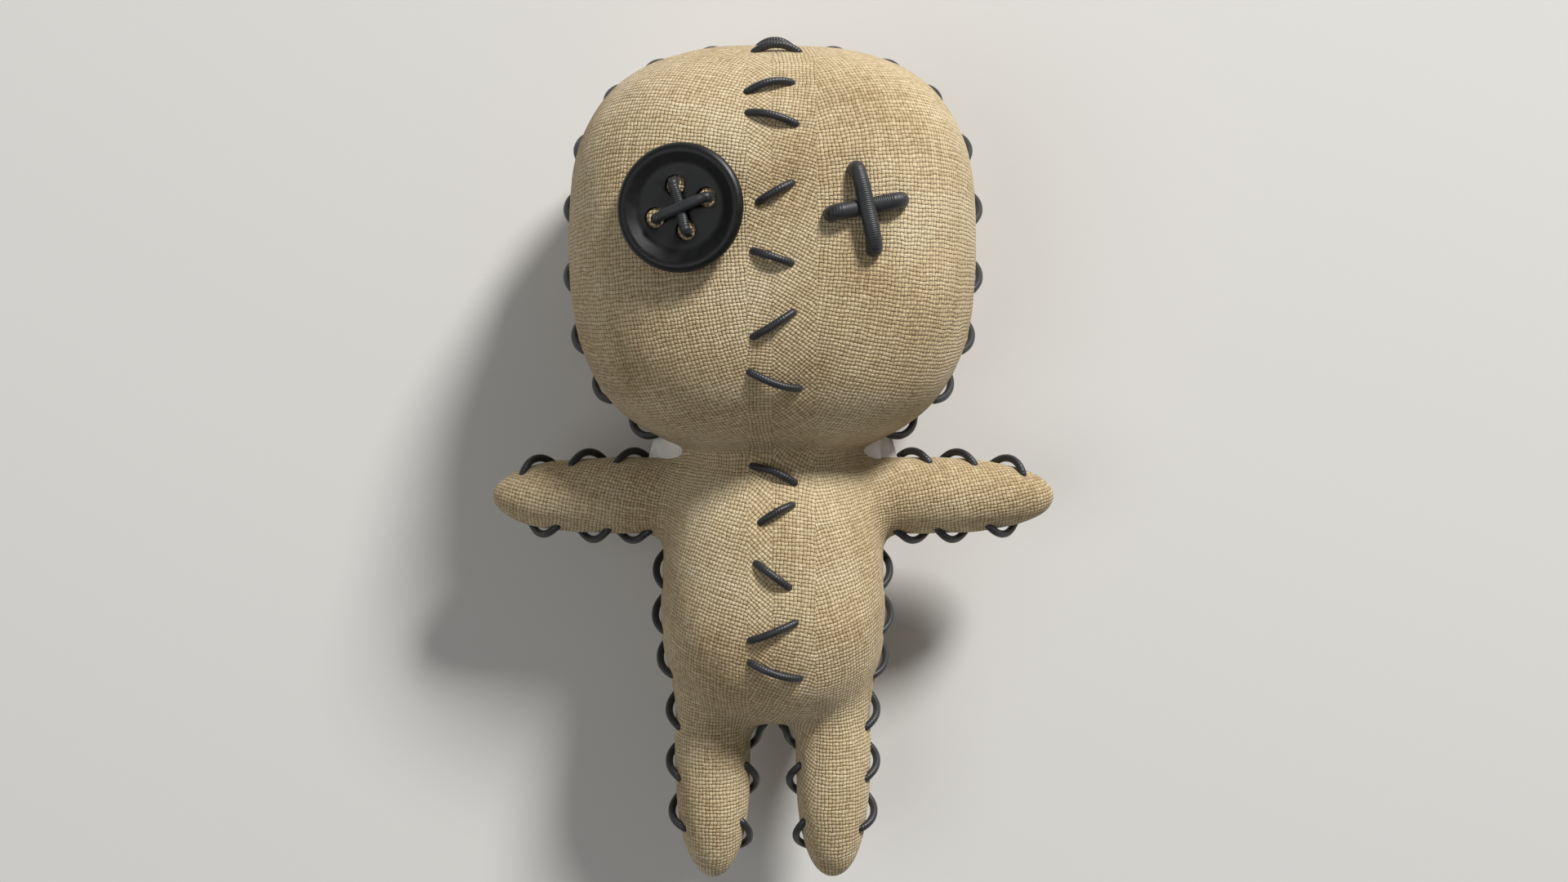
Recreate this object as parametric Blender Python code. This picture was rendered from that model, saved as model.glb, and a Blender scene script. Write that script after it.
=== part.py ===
"""A stuffed cloth doll lying on its back, face up: X across, Y towards the crown, Z up out of the face."""

import math

import bmesh
import bpy
import numpy as np
from mathutils import Matrix, Vector

# Height of the flat side seam above the floor, and the room between neighbouring pieces
SEAM_HEIGHT = 0.032
CLEARANCE = 0.0003

# Head, a rounded block
HEAD_HALF_WIDTH = 0.0531
HEAD_CENTRE_Y = 0.0567
HEAD_UP = 0.0509
HEAD_DOWN = 0.0553
HEAD_FRONT = 0.046
HEAD_BACK = 0.0336
HEAD_CORNER_UPPER = 2.8
HEAD_CORNER_LOWER = 2.7
HEAD_FACE_POWER = 3.0

# Torso, a plump rounded bag
TORSO_HALF_WIDTH = 0.0296
TORSO_CENTRE_Y = -0.0378
TORSO_UP = 0.050
TORSO_DOWN = 0.0315
TORSO_FRONT = 0.0275
TORSO_BACK = 0.0334
TORSO_POWER = 2.4

# Arms and legs, round in section, with tapered tips
ARM_CENTRE_X = 0.030
ARM_CENTRE_Y = -0.0092
ARM_LENGTH = 0.0442
ARM_RADIUS = 0.0104
LEG_CENTRE_X = 0.0158
LEG_CENTRE_Y = -0.0698
LEG_LENGTH = 0.040
LEG_RADIUS = 0.0102
LIMB_TAPER = 2.9
CREASE_BLEND = 0.0055

# Cloth and stuffing
CLOTH = 0.0012

# The doll lies on a three-cornered part of its flat back; the flat round it stands a hair off the floor
REST_CORNERS = ((0.021, 0.072), (-0.021, 0.072), (0.0, -0.0465))
REST_LIFT = 0.0004
REST_SLOPE = 0.08
MESH_SIZE = 0.0024
EDGE_SNAP = 0.0011
SKIN_TRIANGLES = 2100
STUFFING_TRIANGLES = 2200

# Seam cord: an arched stitch outside, a run under the cloth between stitches
CORD_RADIUS = 0.00087
CORD_SIDES = 5
YARN_SIDES = 8
YARN_ROOM = 0.0005
YARN_SQUASH = 0.65
STITCH_RISE = 0.0018
STITCH_START_RISE = 0.0015
WHIP_ALONG = 0.0043
WHIP_ACROSS = 0.0048
RUN_STEP = 0.005
LONG_RUN = 0.014
LONG_RUN_STEP = 0.003
LONG_RUN_EXTRA = 0.0004
MOST_RUN_PIECES = 14
STUFFING_DEPTH = 0.0050
BUTTON_POCKET = 0.0102
CROSS_POCKET = 0.0108
SHOULDER_X = 0.0276
SHOULDER_Y = 0.0030
SHOULDER_DENT = 0.0046

# Feet of each stitch over the crown-to-crotch seam: viewer's left end, then right, as (x, place along it)
CROWN_STITCHES_Z = (
    ((-0.0040, 0.0440), (0.0050, 0.0440)),
    ((-0.0046, 0.0600), (0.0066, 0.0600)),
)
FRONT_STITCHES_Y = (
    ((-0.0062, 0.0914), (0.0047, 0.0941)),
    ((-0.0059, 0.0858), (0.0057, 0.0821)),
    ((-0.0032, 0.0641), (0.0047, 0.0682)),
    ((-0.0046, 0.0514), (0.0045, 0.0487)),
    ((-0.0046, 0.0311), (0.0051, 0.0366)),
    ((-0.0055, 0.0220), (0.0065, 0.0178)),
    ((-0.0052, -0.0012), (0.0056, -0.0051)),
    ((-0.0030, -0.0154), (0.0050, -0.0114)),
    ((-0.0041, -0.0252), (0.0041, -0.0312)),
    ((-0.0056, -0.0451), (0.0058, -0.0400)),
    ((-0.0056, -0.0505), (0.0070, -0.0546)),
)

# Whip stitches of one side, by where their middles lie
HEAD_WHIP_X = (0.015, 0.030)
HEAD_WHIP_Y = (0.0965, 0.0833, 0.0672, 0.0484, 0.0322, 0.0186, 0.0088)
ARM_WHIP_X = (0.0365, 0.0480, 0.0617)
FLANK_WHIP_Y = (-0.0276, -0.0401, -0.0519, -0.0651, -0.0787, -0.0931)
INNER_LEG_WHIP_Y = (-0.0983, -0.0844, -0.0718)

# Button eye
BUTTON_DIAMETER = 0.0316
BUTTON_THICK = 0.0034
BUTTON_RIM_WIDTH = 0.0028
BUTTON_RECESS = 0.0016
BUTTON_X = -0.0216
BUTTON_Y = 0.0617
BUTTON_TURN = math.radians(13.0)
BUTTON_LIFT = 0.0016
BUTTON_HOLE_RADIUS = 0.0025
BUTTON_HOLES = ((0.0056, 104.0), (0.0056, -76.0), (0.0068, 20.0), (0.0068, 200.0))
BUTTON_YARN_RADIUS = 0.00135
BUTTON_YARN_SHIFTS = ((-0.0001, 0.0007), (0.0005, -0.0005), (0.0007, 0.0), (0.0006, -0.0004))

# Cross eye
CROSS_X = 0.0237
CROSS_Y = 0.0628
CROSS_TURN = math.radians(-8.0)
CROSS_YARN_RADIUS = 0.0019
CROSS_LEVEL_FEET = ((-0.0089, -0.0023), (0.0080, 0.0012))
CROSS_UPRIGHT_FEET = ((-0.0030, 0.0085), (0.0013, -0.0106))


def clear_scene():
    for item in list(bpy.data.objects):
        bpy.data.objects.remove(item, do_unlink=True)


def material(name, colour, roughness):
    made = bpy.data.materials.new(name)
    made.use_nodes = True
    shader = made.node_tree.nodes["Principled BSDF"]
    shader.inputs["Base Color"].default_value = (*colour, 1.0)
    shader.inputs["Roughness"].default_value = roughness
    return made


# One lobe of the body: centre, reach towards minus and plus, the long axis, and the powers of its outline
def lobes():
    middle = SEAM_HEIGHT
    head = dict(
        centre=(0.0, HEAD_CENTRE_Y, middle),
        low=(HEAD_HALF_WIDTH, HEAD_DOWN, HEAD_BACK),
        high=(HEAD_HALF_WIDTH, HEAD_UP, HEAD_FRONT),
        along=2,
        corner=(HEAD_CORNER_LOWER, HEAD_CORNER_UPPER),
        across_power=HEAD_FACE_POWER,
        along_power=HEAD_FACE_POWER,
    )
    torso = dict(
        centre=(0.0, TORSO_CENTRE_Y, middle),
        low=(TORSO_HALF_WIDTH, TORSO_DOWN, TORSO_BACK),
        high=(TORSO_HALF_WIDTH, TORSO_UP, TORSO_FRONT),
        along=2,
        corner=(TORSO_POWER, TORSO_POWER),
        across_power=TORSO_POWER,
        along_power=TORSO_POWER,
    )
    made = [head, torso]
    for side in (-1.0, 1.0):
        reach = (ARM_LENGTH, ARM_RADIUS, ARM_RADIUS)
        made.append(
            dict(
                centre=(side * ARM_CENTRE_X, ARM_CENTRE_Y, middle),
                low=reach,
                high=reach,
                along=0,
                corner=(2.0, 2.0),
                across_power=2.0,
                along_power=LIMB_TAPER,
            )
        )
        reach = (LEG_RADIUS, LEG_LENGTH, LEG_RADIUS)
        made.append(
            dict(
                centre=(side * LEG_CENTRE_X, LEG_CENTRE_Y, middle),
                low=reach,
                high=reach,
                along=1,
                corner=(2.0, 2.0),
                across_power=2.0,
                along_power=LIMB_TAPER,
            )
        )
    return made


def lobe_field(points, lobe):
    """About how far each point lies outside one lobe, and the direction straight out of it."""
    offset = points - np.array(lobe["centre"])
    below = offset < 0
    reach = np.where(below, np.array(lobe["low"]), np.array(lobe["high"]))
    part = np.maximum(np.abs(offset) / reach, 1e-6)
    along = lobe["along"]
    first, second = [axis for axis in range(3) if axis != along]
    power = np.where(below[:, 1], lobe["corner"][0], lobe["corner"][1])
    across = part[:, first] ** power + part[:, second] ** power
    total = across ** (lobe["across_power"] / power) + part[:, along] ** lobe["along_power"]
    slope = np.empty_like(points)
    steep = lobe["across_power"] * across ** (lobe["across_power"] / power - 1.0)
    slope[:, first] = steep * part[:, first] ** (power - 1.0)
    slope[:, second] = steep * part[:, second] ** (power - 1.0)
    slope[:, along] = lobe["along_power"] * part[:, along] ** (lobe["along_power"] - 1.0)
    slope *= np.where(below, -1.0, 1.0) / reach
    length = np.maximum(np.linalg.norm(slope, axis=1), 1e-9)
    return (total - 1.0) / length, slope / length[:, None]


def body_field(points):
    """How far each point lies outside the whole body, lobes blended, and the direction straight out."""
    distance, out = lobe_field(points, LOBES[0])
    for lobe in LOBES[1:]:
        other, other_out = lobe_field(points, lobe)
        share = np.clip(0.5 + 0.5 * (other - distance) / CREASE_BLEND, 0.0, 1.0)
        overlap = np.maximum(CREASE_BLEND - np.abs(distance - other), 0.0) / CREASE_BLEND
        distance = np.minimum(distance, other) - overlap**2 * CREASE_BLEND / 4.0
        out = out * share[:, None] + other_out * (1.0 - share[:, None])
    out /= np.maximum(np.linalg.norm(out, axis=1), 1e-9)[:, None]
    return distance, out


def settle(points, depth=0.0, steps=14):
    """Moves each point straight in or out until it lies that depth under the body's skin."""
    placed = np.array(points, float)
    for _ in range(steps):
        distance, out = body_field(placed)
        move = np.clip(distance + depth, -0.004, 0.004)
        placed -= out * move[:, None]
    return placed


def lobe_start(lobe):
    """A ball of points scaled out to one lobe's skin."""
    made = bmesh.new()
    bmesh.ops.create_icosphere(made, subdivisions=4, radius=1.0)
    rays = np.array([vert.co[:] for vert in made.verts])
    reach = np.array(lobe["high"])
    near = np.full(len(rays), 0.3)
    far = np.full(len(rays), 2.0)
    centre = np.array(lobe["centre"])
    for _ in range(30):
        half = (near + far) / 2.0
        distance, _ = lobe_field(centre + rays * reach * half[:, None], lobe)
        near = np.where(distance < 0, half, near)
        far = np.where(distance < 0, far, half)
    for vert, spot in zip(made.verts, centre + rays * reach * near[:, None]):
        vert.co = spot
    return made


def evaluated_copy(item):
    graph = bpy.context.evaluated_depsgraph_get()
    copy = bpy.data.meshes.new_from_object(item.evaluated_get(graph))
    bpy.data.objects.remove(item, do_unlink=True)
    return copy


def body_skin(size, triangles, depth):
    """An even mesh of the whole body, that depth under its skin, as a bmesh."""
    joined = bmesh.new()
    for lobe in LOBES:
        part = lobe_start(lobe)
        mesh = bpy.data.meshes.new("lobe")
        part.to_mesh(mesh)
        part.free()
        joined.from_mesh(mesh)
        bpy.data.meshes.remove(mesh)
    mesh = bpy.data.meshes.new("lobes")
    joined.to_mesh(mesh)
    joined.free()
    item = bpy.data.objects.new("lobes", mesh)
    bpy.context.collection.objects.link(item)
    remesh = item.modifiers.new("even", "REMESH")
    remesh.mode = "VOXEL"
    remesh.voxel_size = size
    even = evaluated_copy(item)
    skin = bmesh.new()
    skin.from_mesh(even)
    for _ in range(3):
        bmesh.ops.smooth_vert(
            skin, verts=skin.verts, factor=0.5, use_axis_x=True, use_axis_y=True, use_axis_z=True
        )
        place(skin, 0.0)
    place(skin, depth)
    if triangles:
        bmesh.ops.triangulate(skin, faces=skin.faces)
        skin.to_mesh(even)
        item = bpy.data.objects.new("lobes", even)
        bpy.context.collection.objects.link(item)
        thin = item.modifiers.new("thin", "DECIMATE")
        thin.ratio = triangles / len(even.polygons)
        even = evaluated_copy(item)
        skin.clear()
        skin.from_mesh(even)
    return skin


def place(skin, depth):
    skin.verts.ensure_lookup_table()
    spots = settle(np.array([vert.co[:] for vert in skin.verts]), depth)
    for vert, spot in zip(skin.verts, spots):
        vert.co = spot


clear_scene()
LOBES = lobes()
CLOTH_LOOK = material("burlap", (0.55, 0.43, 0.24), 0.95)
FILLING_LOOK = material("fibre_filling", (0.85, 0.84, 0.80), 0.95)
CORD_LOOK = material("dark_cord", (0.022, 0.023, 0.026), 0.6)
BUTTON_LOOK = material("black_plastic", (0.008, 0.008, 0.009), 0.35)


def add_object(name, made, look):
    """Turns a closed bmesh into one named object with its material, its faces turned outwards."""
    bmesh.ops.recalc_face_normals(made, faces=made.faces)
    if made.calc_volume(signed=True) < 0:
        bmesh.ops.reverse_faces(made, faces=made.faces)
    mesh = bpy.data.meshes.new(name)
    made.to_mesh(mesh)
    made.free()
    item = bpy.data.objects.new(name, mesh)
    item.data.materials.append(look)
    bpy.context.collection.objects.link(item)
    return item


def cut_along(skin, axis, level, keep):
    """Keeps one side of a flat cut through the skin, its edge set back half a clearance from the cut."""
    normal = [0.0, 0.0, 0.0]
    normal[axis] = 1.0
    spot = [value * level for value in normal]
    for vert in skin.verts:
        if abs(vert.co[axis] - level) < EDGE_SNAP:
            vert.co[axis] = level
    bmesh.ops.bisect_plane(
        skin,
        geom=skin.verts[:] + skin.edges[:] + skin.faces[:],
        dist=1e-6,
        plane_co=spot,
        plane_no=normal,
        clear_inner=keep > 0,
        clear_outer=keep < 0,
    )
    for vert in skin.verts:
        if abs(vert.co[axis] - level) < 1e-5:
            vert.co[axis] = level + keep * CLEARANCE / 2.0


def rest_sides():
    """A corner and the outward direction of each side of the three-cornered resting face."""
    sides = []
    for order, (x, y) in enumerate(REST_CORNERS):
        next_x, next_y = REST_CORNERS[(order + 1) % 3]
        side = Vector((next_y - y, x - next_x, 0.0)).normalized()
        sides.append((Vector((x, y, 0.0)), side))
    return sides


def panel(name, skin, cuts):
    """A cloth panel: the skin inside the cuts, given its thickness inwards."""
    cloth = skin.copy()
    for axis, level, keep in cuts:
        cut_along(cloth, axis, level, keep)
    for corner, side in rest_sides():
        flat = [face for face in cloth.faces if all(vert.co.z < 1e-7 for vert in face.verts)]
        edges = {edge for face in flat for edge in face.edges}
        verts = {vert for face in flat for vert in face.verts}
        bmesh.ops.bisect_plane(
            cloth, geom=flat + list(edges) + list(verts), plane_co=corner, plane_no=side
        )
    cloth.verts.ensure_lookup_table()
    cloth.verts.index_update()
    outer = np.array([vert.co[:] for vert in cloth.verts])
    for axis in range(3):
        held = [cut for cut in cuts if cut[0] == axis]
        if not held:
            continue
        _, level, keep = held[0]
        edge = np.abs(outer[:, axis] - level - keep * CLEARANCE / 2.0) < 1e-6
        outer[edge, axis] = level
    on_floor = outer[:, 2] < 1e-7
    outer[on_floor, 2] = 0.0
    _, out = body_field(outer)
    out[on_floor] = (0.0, 0.0, -1.0)
    for axis, level, keep in cuts:
        edge = np.abs(outer[:, axis] - level) < 1e-6
        out[edge, axis] = 0.0
        outer[edge, axis] = level + keep * CLEARANCE / 2.0
    out /= np.linalg.norm(out, axis=1)[:, None]
    beyond = np.max([(outer - corner) @ side for corner, side in rest_sides()], axis=0)
    outer[:, 2] = np.maximum(outer[:, 2], np.clip(beyond * REST_SLOPE, 0.0, REST_LIFT))
    inner = outer - out * CLOTH
    for vert, spot in zip(cloth.verts, outer):
        vert.co = spot
    lining = [cloth.verts.new(spot) for spot in inner]
    cloth.verts.ensure_lookup_table()
    rim = [edge for edge in cloth.edges if edge.is_boundary]
    faces = list(cloth.faces)
    for face in faces:
        cloth.faces.new([lining[vert.index] for vert in reversed(face.verts)])
    for edge in rim:
        first, second = edge.verts
        cloth.faces.new([first, second, lining[second.index], lining[first.index]])
    bmesh.ops.triangulate(cloth, faces=cloth.faces)
    return add_object(name, cloth, CLOTH_LOOK)


def trace(start, flat_axis, first_way, until, step=0.0015):
    """Points along the skin where a flat plane meets it, from the start until a test passes."""
    across = np.zeros(3)
    across[flat_axis] = 1.0
    spots = [settle(np.array([start]))[0]]
    way = np.array(first_way, float)
    for _ in range(2000):
        _, out = body_field(spots[-1][None, :])
        along = np.cross(out[0], across)
        along /= np.linalg.norm(along)
        if along @ way < 0:
            along = -along
        fresh = spots[-1] + along * step
        fresh = settle(fresh[None, :])[0]
        fresh[flat_axis] = start[flat_axis]
        way = fresh - spots[-1]
        spots.append(fresh)
        if until(fresh):
            break
    return np.array(spots)


class Seam:
    """A seam as a line of points on the skin, with the direction straight across it."""

    def __init__(self, spots, across):
        self.spots = spots
        self.across = np.array(across, float)
        steps = np.linalg.norm(np.diff(spots, axis=0), axis=1)
        self.lengths = np.concatenate([[0.0], np.cumsum(steps)])

    def length_at(self, axis, value, lowest=0.0, highest=1e9):
        """How far along the seam one coordinate takes a value, within a stretch of it."""
        inside = (self.lengths >= lowest) & (self.lengths <= highest)
        error = np.where(inside, np.abs(self.spots[:, axis] - value), 1e9)
        return self.lengths[int(np.argmin(error))]

    def spot(self, length, aside, lift):
        """A point beside the seam, that high over the skin or, when negative, that deep under it."""
        base = np.array([np.interp(length, self.lengths, self.spots[:, axis]) for axis in range(3)])
        point = settle((base + self.across * aside)[None, :])
        _, out = body_field(point)
        return point[0] + out[0] * lift


RUN_DEPTH = CLOTH + 1.6 * CLEARANCE + CORD_RADIUS
STRAIGHT_DEPTH = CLOTH + CLEARANCE


def toward(start, end, distance):
    """How far along from start to end a distance reaches, as a share."""
    return distance / math.hypot(end[0] - start[0], end[1] - start[1])


def mixed(start, end, share):
    return (start[0] + (end[0] - start[0]) * share, start[1] + (end[1] - start[1]) * share)


def run_points(seam, end, follow, share, pieces, extra):
    """Points of one run under the cloth, dipping a little deeper halfway when it is a long one."""
    points = []
    for piece in range(pieces + 1):
        part = share + (1.0 - 2.0 * share) * piece / pieces
        dip = extra * math.sin(math.pi * piece / pieces)
        points.append(seam.spot(*mixed(end, follow, part), -RUN_DEPTH - dip))
    return points


def stays_under(points):
    """True when the straight pieces between the points keep to their depth where the skin bends inwards."""
    middles = (np.array(points[:-1]) + np.array(points[1:])) / 2.0
    distance, _ = body_field(middles)
    return bool((distance < CLEARANCE - RUN_DEPTH).all())


def stitch_line(seam, stitches):
    """The middle line of a cord over its stitches, each a pair of feet as (length, aside)."""
    line = []
    feet = []
    turn = CORD_RADIUS
    for order, (start, end) in enumerate(stitches):
        inset = toward(start, end, 0.0007)
        for share, rise in (
            (0.0, 0.0007),
            (inset, STITCH_START_RISE),
            (0.5, STITCH_RISE),
            (1.0 - inset, STITCH_START_RISE),
            (1.0, 0.0007),
        ):
            length, aside = mixed(start, end, share)
            line.append(seam.spot(length, aside, rise))
        feet += [start, end]
        if order + 1 == len(stitches):
            break
        follow = stitches[order + 1][0]
        share = toward(end, follow, turn)
        run = math.hypot(follow[0] - end[0], follow[1] - end[1])
        line.append(seam.spot(*end, -STRAIGHT_DEPTH))
        extra = LONG_RUN_EXTRA if run > LONG_RUN else 0.0
        pieces = max(1, int(run / (LONG_RUN_STEP if extra else RUN_STEP)))
        inner = run_points(seam, end, follow, share, pieces, extra)
        while pieces < MOST_RUN_PIECES and not stays_under(inner):
            pieces += 1
            inner = run_points(seam, end, follow, share, pieces, extra)
        line += inner
        line.append(seam.spot(*follow, -STRAIGHT_DEPTH))
    # Each end runs on a little under the cloth
    for at_start in (True, False):
        foot = stitches[0][0] if at_start else stitches[-1][1]
        other = stitches[0][1] if at_start else stitches[-1][0]
        share = toward(foot, other, turn)
        tail = [
            seam.spot(*foot, -STRAIGHT_DEPTH),
            seam.spot(*mixed(foot, other, share), -RUN_DEPTH),
            seam.spot(*mixed(foot, other, 3.0 * share), -RUN_DEPTH),
        ]
        line = tail[::-1] + line if at_start else line + tail
    return line, feet


def tube(line, radius, sides):
    """A closed round bar along a line of points, its ends flat."""
    points = [Vector(spot) for spot in line]
    made = bmesh.new()
    rings = []
    side = None
    for order, spot in enumerate(points):
        before = (spot - points[order - 1]).normalized() if order else None
        after = (points[order + 1] - spot).normalized() if order + 1 < len(points) else None
        before = before or after
        after = after or before
        along = (before + after).normalized()
        if side is None:
            side = along.orthogonal().normalized()
        side = (side - along * side.dot(along)).normalized()
        other = along.cross(side)
        bend = (after - before).length
        open_out = 1.0 / max(along.dot(after), 0.75)
        bend_way = (after - before).normalized() if bend > 1e-4 else Vector((0.0, 0.0, 0.0))
        ring = []
        for step in range(sides):
            angle = 2.0 * math.pi * (step + 0.5) / sides
            reach = side * math.cos(angle) + other * math.sin(angle)
            reach += bend_way * reach.dot(bend_way) * (open_out - 1.0)
            ring.append(made.verts.new(spot + reach * radius))
        rings.append(ring)
    for first, second in zip(rings, rings[1:]):
        for step in range(sides):
            follow = (step + 1) % sides
            made.faces.new((first[step], first[follow], second[follow], second[step]))
    made.faces.new(rings[0])
    made.faces.new(rings[-1][::-1])
    bmesh.ops.triangulate(made, faces=made.faces)
    return made


def pins_through(spots, outs, radius, sides):
    """Short pins standing through the cloth at each spot, as one mesh."""
    made = bmesh.new()
    corner_radius = radius / math.cos(math.pi / sides)
    for spot, out in zip(spots, outs):
        turn = Vector(out).to_track_quat("Z", "Y").to_matrix().to_4x4()
        middle = Vector(spot) - Vector(out) * CLOTH / 2.0
        bmesh.ops.create_cone(
            made,
            cap_ends=True,
            segments=sides,
            radius1=corner_radius,
            radius2=corner_radius,
            depth=CLOTH * 2.6,
            matrix=Matrix.Translation(middle) @ turn,
        )
    return made


def cut_holes(item, groups):
    """Cuts every hole of the groups, each (spots, outs, radius, sides), through one panel."""
    cutter = bmesh.new()
    for spots, outs, radius, sides in groups:
        mesh = bpy.data.meshes.new("pins")
        pins = pins_through(spots, outs, radius, sides)
        pins.to_mesh(mesh)
        pins.free()
        cutter.from_mesh(mesh)
        bpy.data.meshes.remove(mesh)
    tool = add_object(item.name + "_pins", cutter, CLOTH_LOOK)
    tool.hide_render = True
    tool.display_type = "WIRE"
    holes = item.modifiers.new("holes", "BOOLEAN")
    holes.operation = "DIFFERENCE"
    holes.solver = "EXACT"
    holes.object = tool


def on_side(spots, outs, axis, level, keep):
    chosen = (np.array(spots)[:, axis] - level) * keep > 0
    return np.array(spots)[chosen], np.array(outs)[chosen]


def seam_feet(seam, feet):
    points = np.array([seam.spot(length, aside, 0.0) for length, aside in feet])
    _, outs = body_field(points)
    return points, outs


# Side seam of the viewer's right, from the crown round to the crotch; the left one is its mirror
CROWN = (0.0, HEAD_CENTRE_Y + HEAD_UP, SEAM_HEIGHT)
SIDE_SEAM = Seam(
    trace(CROWN, 2, (1.0, 0.0, 0.0), lambda spot: spot[0] < 0.0002 and spot[1] < 0), (0.0, 0.0, 1.0)
)
FRONT_SEAM = Seam(
    trace(CROWN, 0, (0.0, 0.0, 1.0), lambda spot: spot[2] < SEAM_HEIGHT + 0.001 and spot[1] < 0),
    (1.0, 0.0, 0.0),
)
neck_height = HEAD_CENTRE_Y - HEAD_DOWN
near_neck = np.abs(SIDE_SEAM.spots[:, 1] - neck_height) < ARM_RADIUS
NECK = SIDE_SEAM.lengths[int(np.argmin(np.where(near_neck, SIDE_SEAM.spots[:, 0], 1.0)))]
ARM_TIP = SIDE_SEAM.lengths[int(np.argmax(SIDE_SEAM.spots[:, 0]))]
ARMPIT = SIDE_SEAM.length_at(1, ARM_CENTRE_Y - ARM_RADIUS - CLOTH, ARM_TIP)
LEG_TIP = SIDE_SEAM.lengths[int(np.argmin(SIDE_SEAM.spots[:, 1]))]
LEFT_HALF = SIDE_SEAM.spots[:0:-1] * np.array((-1.0, 1.0, 1.0))
WHOLE_SEAM = Seam(np.concatenate([LEFT_HALF, SIDE_SEAM.spots]), (0.0, 0.0, 1.0))
CROWN_LENGTH = WHOLE_SEAM.lengths[len(LEFT_HALF)]


def whip(middle, front_first):
    """The two feet of one whip stitch: leaning, so that the front foot is the one further from the crown."""
    if front_first:
        return ((middle - WHIP_ALONG, WHIP_ACROSS), (middle + WHIP_ALONG, -WHIP_ACROSS))
    return ((middle - WHIP_ALONG, -WHIP_ACROSS), (middle + WHIP_ALONG, WHIP_ACROSS))


def mirrored(points):
    return [np.array((-spot[0], spot[1], spot[2])) for spot in points]


head_middles = [SIDE_SEAM.length_at(0, x, 0.0, 0.05) for x in HEAD_WHIP_X]
head_middles += [SIDE_SEAM.length_at(1, y, 0.03, NECK) for y in HEAD_WHIP_Y]
side_middles = [SIDE_SEAM.length_at(0, x, NECK, ARM_TIP) for x in ARM_WHIP_X]
side_middles += [SIDE_SEAM.length_at(0, x, ARM_TIP, ARMPIT) for x in ARM_WHIP_X[::-1]]
side_middles += [SIDE_SEAM.length_at(1, y, ARMPIT, LEG_TIP) for y in FLANK_WHIP_Y]
side_middles += [SIDE_SEAM.length_at(1, y, LEG_TIP) for y in INNER_LEG_WHIP_Y]

# The head's cord runs up the left side, over the crown and down the right
head_stitches = [whip(CROWN_LENGTH - middle, True) for middle in head_middles[::-1]]
head_stitches += [whip(CROWN_LENGTH + middle, False) for middle in head_middles]
head_line, head_feet = stitch_line(WHOLE_SEAM, head_stitches)
side_line, side_feet = stitch_line(SIDE_SEAM, [whip(middle, False) for middle in side_middles])

# The front cord starts at the crown and crosses the seam back and forth down to the crotch
front_places = [
    [(FRONT_SEAM.length_at(2, z, 0.0, 0.04), x) for x, z in feet] for feet in CROWN_STITCHES_Z
]
front_places += [[(FRONT_SEAM.length_at(1, y, 0.03), x) for x, y in feet] for feet in FRONT_STITCHES_Y]
front_stitches = []
for order, (left, right) in enumerate(front_places):
    front_stitches.append((right, left) if order % 2 == 0 else (left, right))
front_line, front_feet = stitch_line(FRONT_SEAM, front_stitches)

add_object("front_seam_cord", tube(front_line, CORD_RADIUS, CORD_SIDES), CORD_LOOK)
add_object("head_seam_cord", tube(head_line, CORD_RADIUS, CORD_SIDES), CORD_LOOK)
add_object("right_side_cord", tube(side_line, CORD_RADIUS, CORD_SIDES), CORD_LOOK)
add_object("left_side_cord", tube(mirrored(side_line), CORD_RADIUS, CORD_SIDES), CORD_LOOK)


# Yarn of the two eyes: strokes over the face, a short run under the cloth from one stroke to the next
def frame_at(x, y, turn):
    """Where an eye sits on the cloth: its middle, and its own across, up and out directions."""
    middle = settle(np.array([[x, y, SEAM_HEIGHT + HEAD_FRONT]]))[0]
    out = np.array((-math.sin(turn), 0.0, math.cos(turn)))
    up = np.array((0.0, 1.0, 0.0))
    return middle, np.cross(up, out), up, out


def cloth_level(frame, x, y):
    """How far out along an eye's own direction the cloth lies at one spot beside its middle."""
    middle, across, up, out = frame
    level = 0.0
    for _ in range(12):
        distance, _ = body_field((middle + across * x + up * y + out * level)[None, :])
        level -= distance[0]
    return level


def eye_line(frame, strokes, radius, base, heights, squash, run_depth):
    """Middle line and flattening of one yarn over its strokes; each stroke is ((x, y), (x, y))."""
    middle, across, up, out = frame
    line = []
    flat = []
    under = 1.0

    def put(x, y, height, thin=1.0):
        line.append(middle + across * x + up * y + out * height)
        flat.append(thin)

    def under_cloth(spot, other, shift):
        share = toward(spot, other, shift)
        x, y = mixed(spot, other, share)
        put(x, y, cloth_level(frame, x, y) - run_depth, under)

    first, last = strokes[0], strokes[-1]
    under_cloth(first[0], first[1], 2.2 * radius)
    for order, (start, end) in enumerate(strokes):
        under_cloth(start, first[1] if order == 0 else strokes[order - 1][1], 0.9 * radius)
        put(*start, cloth_level(frame, *start) - CLOTH - CLEARANCE)
        if base is None:
            low_start, low_end = cloth_level(frame, *start), cloth_level(frame, *end)
        else:
            low_start = low_end = base
        top = heights[order]
        for share, rise, thin in (
            (0.0, 0.5 * radius, 1.0),
            (0.09, 1.1 * radius, 1.0),
            (0.22, 0.45 * top + 0.75 * radius, (1.0 + squash) / 2.0),
            (0.5, top, squash),
            (0.78, 0.45 * top + 0.75 * radius, (1.0 + squash) / 2.0),
            (0.91, 1.1 * radius, 1.0),
            (1.0, 0.5 * radius, 1.0),
        ):
            x, y = mixed(start, end, share)
            put(x, y, low_start * (1.0 - share) + low_end * share + rise + CLEARANCE, thin)
        put(*end, cloth_level(frame, *end) - CLOTH - CLEARANCE)
        if order + 1 < len(strokes):
            under_cloth(end, strokes[order + 1][0], 0.9 * radius)
    under_cloth(last[1], last[0], 0.9 * radius)
    under_cloth(last[1], last[0], 2.2 * radius)
    return line, flat


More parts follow.
